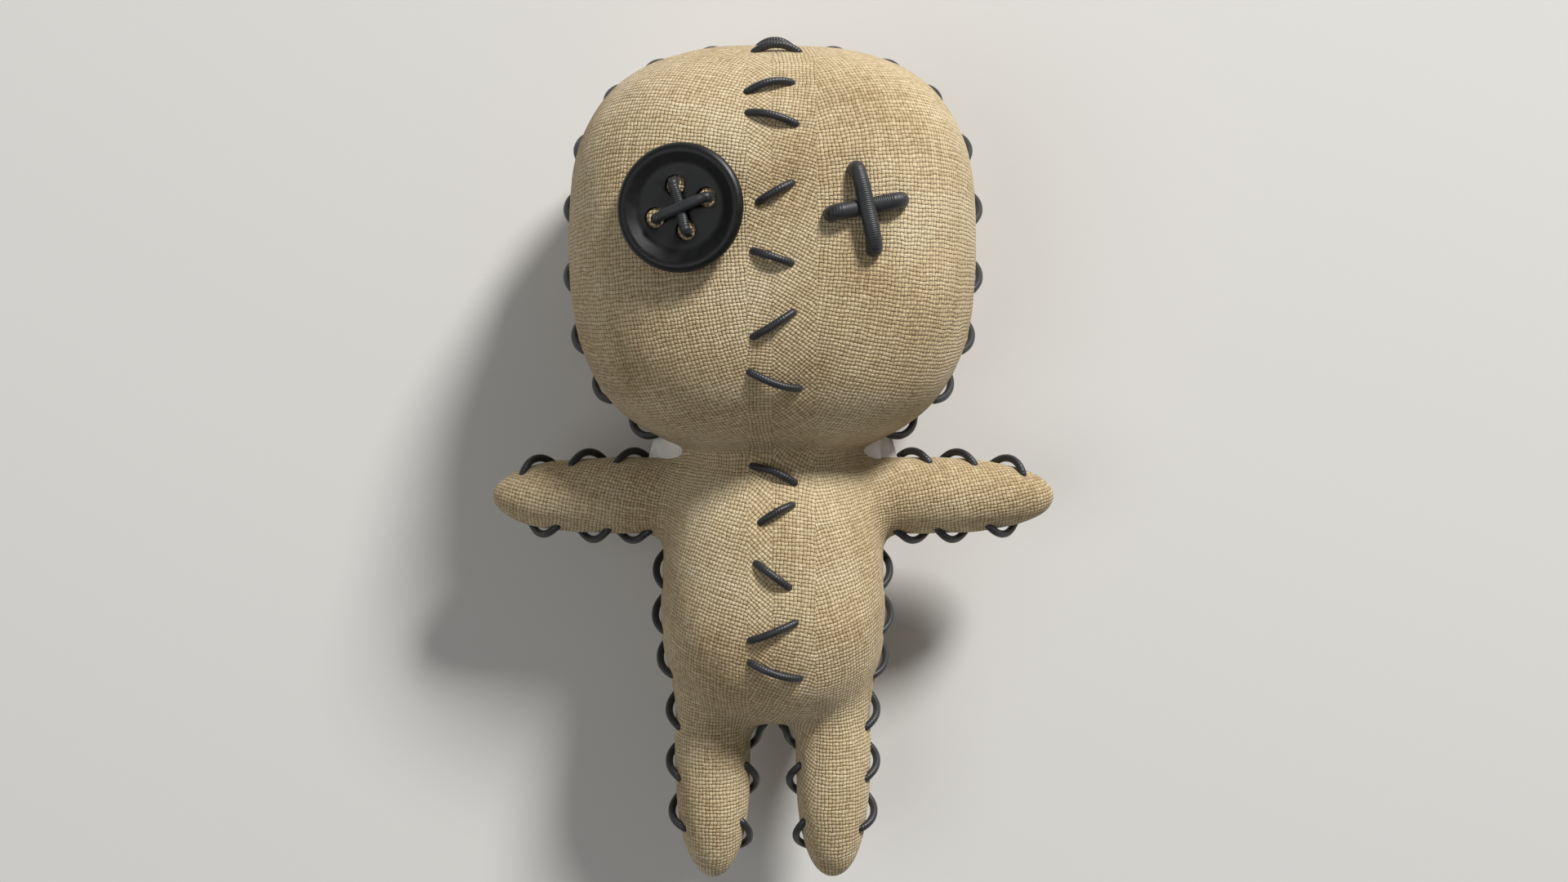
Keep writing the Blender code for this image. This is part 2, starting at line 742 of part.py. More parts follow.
def flat_tube(line, flat, out, radius, sides):
    made = tube(line, radius, sides)
    made.verts.ensure_lookup_table()
    way = Vector(out)
    for order, thin in enumerate(flat):
        spot = Vector(line[order])
        for vert in made.verts[order * sides : (order + 1) * sides]:
            rise = (vert.co - spot).dot(way)
            vert.co -= way * rise * (1.0 - thin)
    return made


CROSS_FRAME = frame_at(CROSS_X, CROSS_Y, CROSS_TURN)
cross_strokes = (CROSS_LEVEL_FEET, CROSS_UPRIGHT_FEET)
cross_low = CROSS_YARN_RADIUS * YARN_SQUASH + CLEARANCE
cross_high = cross_low + 2.0 * CROSS_YARN_RADIUS * YARN_SQUASH + CLEARANCE
cross_depth = CLOTH + CLEARANCE + CROSS_YARN_RADIUS
cross_line, cross_flat = eye_line(
    CROSS_FRAME, cross_strokes, CROSS_YARN_RADIUS, None, (cross_low, cross_high), YARN_SQUASH, cross_depth
)
add_object(
    "cross_eye_yarn",
    flat_tube(cross_line, cross_flat, CROSS_FRAME[3], CROSS_YARN_RADIUS, YARN_SIDES),
    CORD_LOOK,
)

BUTTON_FRAME = frame_at(BUTTON_X, BUTTON_Y, BUTTON_TURN)
hole_spots = [
    (reach * math.cos(math.radians(angle)), reach * math.sin(math.radians(angle)))
    for reach, angle in BUTTON_HOLES
]
yarn_feet = [(x + right, y + up) for (x, y), (right, up) in zip(hole_spots, BUTTON_YARN_SHIFTS)]
button_floor = BUTTON_LIFT + BUTTON_THICK - BUTTON_RECESS
button_low = BUTTON_YARN_RADIUS * YARN_SQUASH + CLEARANCE
button_high = button_low + 2.0 * BUTTON_YARN_RADIUS * YARN_SQUASH + CLEARANCE
button_depth = CLOTH + CLEARANCE + BUTTON_YARN_RADIUS
button_line, button_flat = eye_line(
    BUTTON_FRAME,
    ((yarn_feet[0], yarn_feet[1]), (yarn_feet[2], yarn_feet[3])),
    BUTTON_YARN_RADIUS,
    button_floor,
    (button_low, button_high),
    YARN_SQUASH,
    button_depth,
)
add_object(
    "button_yarn",
    flat_tube(button_line, button_flat, BUTTON_FRAME[3], BUTTON_YARN_RADIUS, YARN_SIDES),
    CORD_LOOK,
)


def turned_disc(profile, segments):
    """A closed ring of faces turned from a profile of (radius, height), its ends on the axis."""
    made = bmesh.new()
    rings = []
    for radius, height in profile:
        if radius == 0.0:
            rings.append([made.verts.new((0.0, 0.0, height))])
            continue
        angles = [2.0 * math.pi * step / segments for step in range(segments)]
        rings.append(
            [made.verts.new((radius * math.cos(a), radius * math.sin(a), height)) for a in angles]
        )
    for first, second in zip(rings, rings[1:]):
        for step in range(segments):
            follow = (step + 1) % segments
            corners = [
                first[step % len(first)],
                first[follow % len(first)],
                second[follow % len(second)],
                second[step % len(second)],
            ]
            made.faces.new(list(dict.fromkeys(corners)))
    return made


def eye_matrix(frame, lift):
    middle, across, up, out = frame
    turn = Matrix((across, up, out)).transposed().to_4x4()
    return Matrix.Translation(Vector(middle + out * lift)) @ turn


button_radius = BUTTON_DIAMETER / 2.0
rim_inner = button_radius - BUTTON_RIM_WIDTH
button = turned_disc(
    (
        (0.0, 0.0),
        (button_radius - 0.0016, 0.0),
        (button_radius - 0.0004, 0.0007),
        (button_radius, 0.0018),
        (button_radius - 0.0004, BUTTON_THICK - 0.0006),
        (button_radius - 0.0013, BUTTON_THICK),
        (rim_inner + 0.0004, BUTTON_THICK - 0.0004),
        (rim_inner - 0.0006, BUTTON_THICK - BUTTON_RECESS),
        (0.0, BUTTON_THICK - BUTTON_RECESS),
    ),
    40,
)
button.transform(eye_matrix(BUTTON_FRAME, BUTTON_LIFT))
button_piece = add_object("button_eye", button, BUTTON_LOOK)
pins = bmesh.new()
for x, y in hole_spots:
    bmesh.ops.create_cone(
        pins,
        cap_ends=True,
        segments=16,
        radius1=BUTTON_HOLE_RADIUS,
        radius2=BUTTON_HOLE_RADIUS,
        depth=4.0 * BUTTON_THICK,
        matrix=eye_matrix(BUTTON_FRAME, BUTTON_LIFT) @ Matrix.Translation((x, y, 0.0)),
    )
pin_tool = add_object("button_pins", pins, BUTTON_LOOK)
pin_tool.hide_render = True
pin_tool.display_type = "WIRE"
drill = button_piece.modifiers.new("holes", "BOOLEAN")
drill.operation = "DIFFERENCE"
drill.solver = "EXACT"
drill.object = pin_tool


# Cloth panels, with a hole wherever a cord or a yarn goes through
def eye_holes(frame, spots):
    middle, across, up, out = frame
    places = [middle + across * x + up * y + out * cloth_level(frame, x, y) for x, y in spots]
    return np.array(places), np.array([out] * len(places))


SKIN = body_skin(MESH_SIZE, SKIN_TRIANGLES, 0.0)
place(SKIN, 0.0)
cord_hole = CORD_RADIUS + CLEARANCE
front_points, front_outs = seam_feet(FRONT_SEAM, front_feet)
whole_feet = head_feet + [(CROWN_LENGTH + length, aside) for length, aside in side_feet]
whole_feet += [(CROWN_LENGTH - length, aside) for length, aside in side_feet]
side_points, side_outs = seam_feet(WHOLE_SEAM, whole_feet)
for name, keep, eye_frame, eye_spots, eye_radius in (
    ("front_left_panel", -1, BUTTON_FRAME, yarn_feet, BUTTON_YARN_RADIUS + YARN_ROOM),
    ("front_right_panel", 1, CROSS_FRAME, cross_strokes[0] + cross_strokes[1], CROSS_YARN_RADIUS + YARN_ROOM),
):
    cloth = panel(name, SKIN, ((2, SEAM_HEIGHT, 1), (0, 0.0, keep)))
    centre_holes = on_side(front_points, front_outs, 0, 0.0, keep)
    edge_points, edge_outs = on_side(side_points, side_outs, 2, SEAM_HEIGHT, 1)
    edge_holes = on_side(edge_points, edge_outs, 0, 0.0, keep)
    cut_holes(
        cloth,
        (
            (*centre_holes, cord_hole, CORD_SIDES),
            (*edge_holes, cord_hole, CORD_SIDES),
            (*eye_holes(eye_frame, eye_spots), eye_radius, YARN_SIDES),
        ),
    )
back = panel("back_panel", SKIN, ((2, SEAM_HEIGHT, -1),))
back_points, back_outs = on_side(side_points, side_outs, 2, SEAM_HEIGHT, -1)
cut_holes(back, ((back_points, back_outs, cord_hole, CORD_SIDES),))
SKIN.free()


# Stuffing: one body under the cloth, set back far enough for the cords to run between the two
filling = body_skin(MESH_SIZE, STUFFING_TRIANGLES, STUFFING_DEPTH)
for vert in filling.verts:
    vert.co.z = max(vert.co.z, CLOTH + CLEARANCE)
stuffing = add_object("stuffing", filling, FILLING_LOOK)
pockets = bmesh.new()
for frame, radius, depth in (
    (BUTTON_FRAME, BUTTON_POCKET, button_depth + BUTTON_YARN_RADIUS + 3.0 * CLEARANCE),
    (CROSS_FRAME, CROSS_POCKET, cross_depth + CROSS_YARN_RADIUS + 3.0 * CLEARANCE),
):
    bmesh.ops.create_cone(
        pockets,
        cap_ends=True,
        segments=20,
        radius1=radius,
        radius2=radius,
        depth=2.0 * depth,
        matrix=eye_matrix(frame, 0.0),
    )
# The filling gives way where the neck crease presses in at each shoulder
for side in (-1.0, 1.0):
    bmesh.ops.create_icosphere(
        pockets,
        subdivisions=1,
        radius=SHOULDER_DENT,
        matrix=Matrix.Translation((side * SHOULDER_X, SHOULDER_Y, SEAM_HEIGHT)),
    )
pocket_tool = add_object("filling_pockets", pockets, FILLING_LOOK)
pocket_tool.hide_render = True
pocket_tool.display_type = "WIRE"
hollow = stuffing.modifiers.new("pockets", "BOOLEAN")
hollow.operation = "DIFFERENCE"
hollow.solver = "EXACT"
hollow.object = pocket_tool
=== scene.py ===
import math

import bmesh
import bpy
import numpy as np
from mathutils import Color, Matrix, Vector, kdtree, noise


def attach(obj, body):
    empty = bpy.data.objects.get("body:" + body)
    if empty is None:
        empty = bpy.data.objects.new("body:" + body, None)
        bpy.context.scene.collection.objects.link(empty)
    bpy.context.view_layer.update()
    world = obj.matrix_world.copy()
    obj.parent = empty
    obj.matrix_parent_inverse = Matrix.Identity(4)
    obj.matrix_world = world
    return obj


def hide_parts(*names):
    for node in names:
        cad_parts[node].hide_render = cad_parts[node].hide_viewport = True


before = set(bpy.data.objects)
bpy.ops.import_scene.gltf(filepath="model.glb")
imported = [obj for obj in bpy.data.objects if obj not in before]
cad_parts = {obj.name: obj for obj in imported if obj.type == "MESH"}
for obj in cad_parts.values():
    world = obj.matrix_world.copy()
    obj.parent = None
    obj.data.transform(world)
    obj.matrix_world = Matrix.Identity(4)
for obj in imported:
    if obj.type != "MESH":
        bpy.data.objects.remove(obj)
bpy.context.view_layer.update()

# The doll's sizes, in metres, the same as its solids have but for the blunter arm and leg tips, the flatter
# stitches and the slightly wider holes of the button
SEAM_HEIGHT = 0.032
CLEARANCE = 0.0003
HEAD_HALF_WIDTH = 0.0531
HEAD_CENTRE_Y = 0.0567
HEAD_UP = 0.0509
HEAD_DOWN = 0.0553
HEAD_FRONT = 0.046
HEAD_BACK = 0.0336
HEAD_CORNERS = (2.7, 2.8)
HEAD_FACE_POWER = 3.0
TORSO_HALF_WIDTH = 0.0296
TORSO_CENTRE_Y = -0.0378
TORSO_UP = 0.050
TORSO_DOWN = 0.0315
TORSO_FRONT = 0.0275
TORSO_BACK = 0.0334
TORSO_POWER = 2.4
ARM_CENTRE = (0.030, -0.0092)
ARM_REACH = (0.0442, 0.0104, 0.0104)
LEG_CENTRE = (0.0158, -0.0698)
LEG_REACH = (0.0102, 0.040, 0.0102)
LIMB_TAPER = 3.4
CREASE_BLEND = 0.0055
CLOTH = 0.0012
STUFFING_DEPTH = 0.0050

# Seam cord: an arched stitch outside, where the soft cord plumps out a little, and a run under the cloth
# between stitches
CORD_RADIUS = 0.00087
CORD_SHOWN_RADIUS = CORD_RADIUS + 0.00012
STITCH_RISE = 0.0014
STITCH_SINK = 0.0006
STITCH_ARCH = 2.2
STITCH_POINTS = 9
WHIP_ALONG = 0.0043
WHIP_ACROSS = 0.0048
RUN_DEPTH = CLOTH + 1.6 * CLEARANCE + CORD_RADIUS
STRAIGHT_DEPTH = CLOTH + CLEARANCE
RUN_STEP = 0.005
RUN_MOST_PIECES = 14
CROWN_STITCHES_Z = (
    ((-0.0040, 0.0440), (0.0050, 0.0440)),
    ((-0.0046, 0.0600), (0.0066, 0.0600)),
)
FRONT_STITCHES_Y = (
    ((-0.0062, 0.0914), (0.0047, 0.0941)),
    ((-0.0059, 0.0858), (0.0057, 0.0821)),
    ((-0.0032, 0.0641), (0.0047, 0.0682)),
    ((-0.0046, 0.0514), (0.0045, 0.0487)),
    ((-0.0046, 0.0311), (0.0051, 0.0366)),
    ((-0.0055, 0.0220), (0.0065, 0.0178)),
    ((-0.0052, -0.0012), (0.0056, -0.0051)),
    ((-0.0030, -0.0154), (0.0050, -0.0114)),
    ((-0.0041, -0.0252), (0.0041, -0.0312)),
    ((-0.0056, -0.0451), (0.0058, -0.0400)),
    ((-0.0056, -0.0505), (0.0070, -0.0546)),
)
HEAD_WHIP_X = (0.015, 0.030)
HEAD_WHIP_Y = (0.0965, 0.0833, 0.0672, 0.0484, 0.0322, 0.0186, 0.0088)
ARM_WHIP_X = (0.0365, 0.0480, 0.0617)
FLANK_WHIP_Y = (-0.0276, -0.0401, -0.0519, -0.0651, -0.0787, -0.0931)
INNER_LEG_WHIP_Y = (-0.0983, -0.0844, -0.0718)

# Button eye and cross eye
BUTTON_RADIUS = 0.0158
BUTTON_THICK = 0.0034
BUTTON_RIM_WIDTH = 0.0028
BUTTON_RECESS = 0.0016
BUTTON_PLACE = (-0.0216, 0.0617)
BUTTON_TURN = math.radians(13.0)
BUTTON_LIFT = 0.0016
BUTTON_HOLE_RADIUS = 0.0026
BUTTON_HOLES = ((0.0056, 104.0), (0.0056, -76.0), (0.0068, 20.0), (0.0068, 200.0))
BUTTON_YARN_RADIUS = 0.00135
BUTTON_YARN_SHIFTS = ((-0.0001, 0.0007), (0.0005, -0.0005), (0.0007, 0.0), (0.0006, -0.0004))
CROSS_PLACE = (0.0237, 0.0628)
CROSS_TURN = math.radians(-8.0)
CROSS_YARN_RADIUS = 0.0019
CROSS_STROKES = (
    ((-0.0089, -0.0023), (0.0080, 0.0012)),
    ((-0.0030, 0.0085), (0.0013, -0.0106)),
)
YARN_SQUASH = 0.65
# Free yarn plumps out a little, and yarn pulled tight through the button's holes thins
CROSS_YARN_PLUMP = 1.06
BUTTON_YARN_PLUMP = 0.95


# The body's shape: rounded lobes blended into one skin
def lobe(centre, low, high, along, corner, across_power, along_power):
    """One rounded block: its reach below and above its centre on each axis, and how square it is."""
    return dict(
        centre=np.array((*centre, SEAM_HEIGHT)),
        low=np.array(low),
        high=np.array(high),
        along=along,
        corner=corner,
        across_power=across_power,
        along_power=along_power,
    )


LOBES = [
    lobe(
        (0.0, HEAD_CENTRE_Y),
        (HEAD_HALF_WIDTH, HEAD_DOWN, HEAD_BACK),
        (HEAD_HALF_WIDTH, HEAD_UP, HEAD_FRONT),
        2,
        HEAD_CORNERS,
        HEAD_FACE_POWER,
        HEAD_FACE_POWER,
    ),
    lobe(
        (0.0, TORSO_CENTRE_Y),
        (TORSO_HALF_WIDTH, TORSO_DOWN, TORSO_BACK),
        (TORSO_HALF_WIDTH, TORSO_UP, TORSO_FRONT),
        2,
        (TORSO_POWER, TORSO_POWER),
        TORSO_POWER,
        TORSO_POWER,
    ),
]
for side in (-1.0, 1.0):
    LOBES.append(
        lobe((side * ARM_CENTRE[0], ARM_CENTRE[1]), ARM_REACH, ARM_REACH, 0, (2.0, 2.0), 2.0, LIMB_TAPER)
    )
    LOBES.append(
        lobe((side * LEG_CENTRE[0], LEG_CENTRE[1]), LEG_REACH, LEG_REACH, 1, (2.0, 2.0), 2.0, LIMB_TAPER)
    )


def lobe_field(points, shape):
    """About how far each point lies outside one lobe, and the direction straight out of it."""
    offset = points - shape["centre"]
    below = offset < 0
    reach = np.where(below, shape["low"], shape["high"])
    part = np.maximum(np.abs(offset) / reach, 1e-6)
    along = shape["along"]
    first, second = [axis for axis in range(3) if axis != along]
    power = np.where(below[:, 1], shape["corner"][0], shape["corner"][1])
    across = part[:, first] ** power + part[:, second] ** power
    total = across ** (shape["across_power"] / power) + part[:, along] ** shape["along_power"]
    slope = np.empty_like(points)
    steep = shape["across_power"] * across ** (shape["across_power"] / power - 1.0)
    slope[:, first] = steep * part[:, first] ** (power - 1.0)
    slope[:, second] = steep * part[:, second] ** (power - 1.0)
    slope[:, along] = shape["along_power"] * part[:, along] ** (shape["along_power"] - 1.0)
    slope *= np.where(below, -1.0, 1.0) / reach
    length = np.maximum(np.linalg.norm(slope, axis=1), 1e-9)
    return (total - 1.0) / length, slope / length[:, None]


def body_field(points):
    """How far each point lies outside the whole body, and the direction straight out."""
    distance, out = lobe_field(points, LOBES[0])
    for shape in LOBES[1:]:
        other, other_out = lobe_field(points, shape)
        share = np.clip(0.5 + 0.5 * (other - distance) / CREASE_BLEND, 0.0, 1.0)
        overlap = np.maximum(CREASE_BLEND - np.abs(distance - other), 0.0) / CREASE_BLEND
        distance = np.minimum(distance, other) - overlap**2 * CREASE_BLEND / 4.0
        out = out * share[:, None] + other_out * (1.0 - share[:, None])
    out /= np.maximum(np.linalg.norm(out, axis=1), 1e-9)[:, None]
    return distance, out


SETTLE_STEP = 0.004


def settle(points, depth=0.0, steps=14):
    """Moves each point straight in or out until it lies that depth under the body's skin."""
    placed = np.array(points, float)
    for _ in range(steps):
        distance, out = body_field(placed)
        placed -= out * np.clip(distance + depth, -SETTLE_STEP, SETTLE_STEP)[:, None]
    return placed


# Small helpers for meshes
def vert_points(made):
    """The places of a bmesh's vertices as an array."""
    return np.array([vert.co[:] for vert in made.verts])


def move_verts(made, points):
    """Moves each vertex of a bmesh to its point."""
    for vert, point in zip(made.verts, points):
        vert.co = point


def to_object(name, made):
    """A bmesh as a new object in the scene."""
    mesh = bpy.data.meshes.new(name)
    made.to_mesh(mesh)
    made.free()
    item = bpy.data.objects.new(name, mesh)
    bpy.context.scene.collection.objects.link(item)
    return item


def applied(item):
    """The object's mesh with its modifiers, as a bmesh; the object is removed."""
    graph = bpy.context.evaluated_depsgraph_get()
    mesh = bpy.data.meshes.new_from_object(item.evaluated_get(graph))
    made = bmesh.new()
    made.from_mesh(mesh)
    bpy.data.objects.remove(item, do_unlink=True)
    bpy.data.meshes.remove(mesh)
    return made


def finish_piece(item, material, nodes):
    """Shades a finished piece smooth, gives it its material and puts it in the place of its CAD nodes."""
    item.data.shade_smooth()
    item.data.materials.clear()
    item.data.materials.append(material)
    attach(item, "root")
    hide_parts(*nodes)
    return item


def body_skin(size, depth):
    """An even mesh of squares over the whole body, that depth under its skin."""
    joined = bmesh.new()
    for shape in LOBES:
        ball = bmesh.ops.create_icosphere(joined, subdivisions=4, radius=1.0)["verts"]
        rays = np.array([vert.co[:] for vert in ball])
        near, far = np.full(len(rays), 0.3), np.full(len(rays), 2.0)
        for _ in range(30):
            half = (near + far) / 2.0
            distance, _ = lobe_field(shape["centre"] + rays * shape["high"] * half[:, None], shape)
            near = np.where(distance < 0, half, near)
            far = np.where(distance < 0, far, half)
        for vert, spot in zip(ball, shape["centre"] + rays * shape["high"] * near[:, None]):
            vert.co = spot
    item = to_object("lobes", joined)
    even = item.modifiers.new("even", "REMESH")
    even.mode = "VOXEL"
    even.voxel_size = size
    skin = applied(item)
    for _ in range(4):
        bmesh.ops.smooth_vert(
            skin, verts=skin.verts, factor=0.5, use_axis_x=True, use_axis_y=True, use_axis_z=True
        )
        move_verts(skin, settle(vert_points(skin)))
    move_verts(skin, settle(vert_points(skin), depth))
    return skin


# Seams: lines of points on the skin, and the stitches that cross them
def trace(start, flat_axis, first_way, until, step=0.0015):
    """Points along the skin where a flat plane meets it, from the start until a test passes."""
    across = np.zeros(3)
    across[flat_axis] = 1.0
    spots = [settle(np.array([start]))[0]]
    way = np.array(first_way, float)
    for _ in range(2000):
        _, out = body_field(spots[-1][None, :])
        along = np.cross(out[0], across)
        along /= np.linalg.norm(along)
        if along @ way < 0:
            along = -along
        fresh = settle((spots[-1] + along * step)[None, :])[0]
        fresh[flat_axis] = start[flat_axis]
        way = fresh - spots[-1]
        spots.append(fresh)
        if until(fresh):
            break
    return np.array(spots)


class Seam:
    """A seam as a line of points on the skin, with the direction straight across it."""

    def __init__(self, spots, across):
        self.spots = spots
        self.across = np.array(across, float)
        steps = np.linalg.norm(np.diff(spots, axis=0), axis=1)
        self.lengths = np.concatenate([[0.0], np.cumsum(steps)])

    def length_at(self, axis, value, lowest=0.0, highest=1e9):
        """How far along the seam one coordinate takes a value, within a stretch of it."""
        inside = (self.lengths >= lowest) & (self.lengths <= highest)
        error = np.where(inside, np.abs(self.spots[:, axis] - value), 1e9)
        return self.lengths[int(np.argmin(error))]

    def spot(self, length, aside, lift):
        """A point beside the seam, that high over the skin or, when negative, that deep under it."""
        base = np.array([np.interp(length, self.lengths, self.spots[:, axis]) for axis in range(3)])
        point = settle((base + self.across * aside)[None, :])
        _, out = body_field(point)
        return point[0] + out[0] * lift


def toward(start, end, distance):
    """How far along from start to end a distance reaches, as a share."""
    return distance / math.hypot(end[0] - start[0], end[1] - start[1])


def mixed(start, end, share):
    """The flat spot that share of the way from start to end."""
    return (start[0] + (end[0] - start[0]) * share, start[1] + (end[1] - start[1]) * share)


def run_points(seam, end, follow, share, pieces):
    """Points of one run under the cloth."""
    parts = [share + (1.0 - 2.0 * share) * piece / pieces for piece in range(pieces + 1)]
    return [seam.spot(*mixed(end, follow, part), -RUN_DEPTH) for part in parts]


def stays_under(points):
    """Whether straight pieces between the points stay clear of the cloth over them."""
    middles = (np.array(points[:-1]) + np.array(points[1:])) / 2.0
    distance, _ = body_field(middles)
    return bool((distance < CLEARANCE - RUN_DEPTH).all())


def stitch_line(seam, stitches):
    """The middle line of a cord over its stitches, each a pair of feet as (length, aside)."""
    line = []
    feet = []
    for order, (start, end) in enumerate(stitches):
        for share in np.linspace(0.0, 1.0, STITCH_POINTS):
            arch = 1.0 - abs(2.0 * share - 1.0) ** STITCH_ARCH
            rise = (STITCH_RISE + STITCH_SINK) * arch - STITCH_SINK
            line.append(seam.spot(*mixed(start, end, share), rise))
        feet.append((seam.spot(*start, 0.0), seam.spot(*end, 0.0)))
        if order + 1 == len(stitches):
            break
        follow = stitches[order + 1][0]
        share = toward(end, follow, CORD_RADIUS)
        pieces = max(1, int(math.hypot(follow[0] - end[0], follow[1] - end[1]) / RUN_STEP))
        inner = run_points(seam, end, follow, share, pieces)
        while pieces < RUN_MOST_PIECES and not stays_under(inner):
            pieces += 1
            inner = run_points(seam, end, follow, share, pieces)
        line += [seam.spot(*end, -STRAIGHT_DEPTH), *inner, seam.spot(*follow, -STRAIGHT_DEPTH)]
    for foot, other, at_start in (
        (stitches[0][0], stitches[0][1], True),
        (stitches[-1][1], stitches[-1][0], False),
    ):
        share = toward(foot, other, CORD_RADIUS)
        tail = [
            seam.spot(*foot, -STRAIGHT_DEPTH),
            seam.spot(*mixed(foot, other, share), -RUN_DEPTH),
            seam.spot(*mixed(foot, other, 3.0 * share), -RUN_DEPTH),
        ]
        line = tail[::-1] + line if at_start else line + tail
    return line, feet


CROWN = (0.0, HEAD_CENTRE_Y + HEAD_UP, SEAM_HEIGHT)
SIDE_SEAM = Seam(
    trace(CROWN, 2, (1.0, 0.0, 0.0), lambda spot: spot[0] < 0.0002 and spot[1] < 0), (0.0, 0.0, 1.0)
)
FRONT_SEAM = Seam(
    trace(CROWN, 0, (0.0, 0.0, 1.0), lambda spot: spot[2] < SEAM_HEIGHT + 0.001 and spot[1] < 0),
    (1.0, 0.0, 0.0),
)
near_neck = np.abs(SIDE_SEAM.spots[:, 1] - (HEAD_CENTRE_Y - HEAD_DOWN)) < ARM_REACH[1]
NECK = SIDE_SEAM.lengths[int(np.argmin(np.where(near_neck, SIDE_SEAM.spots[:, 0], 1.0)))]
ARM_TIP = SIDE_SEAM.lengths[int(np.argmax(SIDE_SEAM.spots[:, 0]))]
ARMPIT = SIDE_SEAM.length_at(1, ARM_CENTRE[1] - ARM_REACH[1] - CLOTH, ARM_TIP)
LEG_TIP = SIDE_SEAM.lengths[int(np.argmin(SIDE_SEAM.spots[:, 1]))]
LEFT_HALF = SIDE_SEAM.spots[:0:-1] * np.array((-1.0, 1.0, 1.0))
WHOLE_SEAM = Seam(np.concatenate([LEFT_HALF, SIDE_SEAM.spots]), (0.0, 0.0, 1.0))
CROWN_LENGTH = WHOLE_SEAM.lengths[len(LEFT_HALF)]


def whip(middle, front_first):
    """The two feet of one whip stitch, which leans along the seam."""
    if front_first:
        return ((middle - WHIP_ALONG, WHIP_ACROSS), (middle + WHIP_ALONG, -WHIP_ACROSS))
    return ((middle - WHIP_ALONG, -WHIP_ACROSS), (middle + WHIP_ALONG, WHIP_ACROSS))


def mirrored(points):
    """The points on the other side of the doll."""
    return [np.array((-spot[0], spot[1], spot[2])) for spot in points]


head_middles = [SIDE_SEAM.length_at(0, x, 0.0, 0.05) for x in HEAD_WHIP_X]
head_middles += [SIDE_SEAM.length_at(1, y, 0.03, NECK) for y in HEAD_WHIP_Y]
side_middles = [SIDE_SEAM.length_at(0, x, NECK, ARM_TIP) for x in ARM_WHIP_X]
side_middles += [SIDE_SEAM.length_at(0, x, ARM_TIP, ARMPIT) for x in ARM_WHIP_X[::-1]]
side_middles += [SIDE_SEAM.length_at(1, y, ARMPIT, LEG_TIP) for y in FLANK_WHIP_Y]
side_middles += [SIDE_SEAM.length_at(1, y, LEG_TIP) for y in INNER_LEG_WHIP_Y]
head_stitches = [whip(CROWN_LENGTH - middle, True) for middle in head_middles[::-1]]
head_stitches += [whip(CROWN_LENGTH + middle, False) for middle in head_middles]
HEAD_LINE, HEAD_FEET = stitch_line(WHOLE_SEAM, head_stitches)
SIDE_LINE, SIDE_FEET = stitch_line(SIDE_SEAM, [whip(middle, False) for middle in side_middles])
front_places = [
    [(FRONT_SEAM.length_at(2, z, 0.0, 0.04), x) for x, z in feet] for feet in CROWN_STITCHES_Z
]
front_places += [[(FRONT_SEAM.length_at(1, y, 0.03), x) for x, y in feet] for feet in FRONT_STITCHES_Y]
front_stitches = []
for order, (left, right) in enumerate(front_places):
    front_stitches.append((right, left) if order % 2 == 0 else (left, right))
FRONT_LINE, FRONT_FEET = stitch_line(FRONT_SEAM, front_stitches)


# The eyes and the places where their yarns enter the cloth
def frame_at(place, turn):
    """Where an eye sits on the cloth: its middle, and its own across, up and out directions."""
    middle = settle(np.array([[*place, SEAM_HEIGHT + HEAD_FRONT]]))[0]
    out = np.array((-math.sin(turn), 0.0, math.cos(turn)))
    up = np.array((0.0, 1.0, 0.0))
    return middle, np.cross(up, out), up, out


def cloth_level(eye, x, y):
    """How far out along an eye's own direction the cloth lies at one spot beside its middle."""
    middle, across, up, out = eye
    level = 0.0
    for _ in range(12):
        distance, _ = body_field((middle + across * x + up * y + out * level)[None, :])
        level -= distance[0]
    return level


BUTTON_EYE = frame_at(BUTTON_PLACE, BUTTON_TURN)
CROSS_EYE = frame_at(CROSS_PLACE, CROSS_TURN)
HOLE_SPOTS = [
    (reach * math.cos(math.radians(angle)), reach * math.sin(math.radians(angle)))
    for reach, angle in BUTTON_HOLES
]
YARN_FEET = [(x + right, y + up) for (x, y), (right, up) in zip(HOLE_SPOTS, BUTTON_YARN_SHIFTS)]
EYE_FEET = [
    eye[0] + eye[1] * x + eye[2] * y + eye[3] * cloth_level(eye, x, y)
    for eye, spots in ((BUTTON_EYE, YARN_FEET), (CROSS_EYE, CROSS_STROKES[0] + CROSS_STROKES[1]))
    for x, y in spots
]


# Materials
def linear(code):
    """An sRGB hex colour as the linear colour that a shader takes."""
    parts = [int(code[place : place + 2], 16) / 255.0 for place in (1, 3, 5)]
    return (*Color(parts).from_srgb_to_scene_linear(), 1.0)


def new_material(name):
    """A material, its node tree and its Principled shader."""
    made = bpy.data.materials.new(name)
    made.use_nodes = True
    return made, made.node_tree, made.node_tree.nodes["Principled BSDF"]


def join(tree, node, inputs):
    """Gives a node's inputs their values, or links them to other nodes' outputs."""
    for place, value in inputs.items():
        if isinstance(value, bpy.types.NodeSocket):
            tree.links.new(value, node.inputs[place])
        else:
            node.inputs[place].default_value = value


def add(tree, kind, inputs, output=0, stops=(), **settings):
    """Adds one node with its settings and links, and gives one output; stops are a ramp's colours."""
    node = tree.nodes.new("ShaderNode" + kind)
    for name, value in settings.items():
        setattr(node, name, value)
    join(tree, node, inputs)
    if stops:
        points = node.color_ramp.elements
        while len(points) < len(stops):
            points.new(0.5)
        for point, (place, colour) in zip(points, stops):
            point.position = place
            point.color = colour
    return node.outputs[output]


def per_metre(millimetres):
    """The scale of a pattern from the real size of its features."""
    return 1000.0 / millimetres


# Jute burlap, plain woven: spun yarns of uneven thickness pass over and under one another, so the eye
# sees rows of small light bumps with dark gaps between them, dry and without gloss; the dark gaps are
# painted shade, a darker colour laid where the yarns run low
WEAVE_PITCH = 0.00096
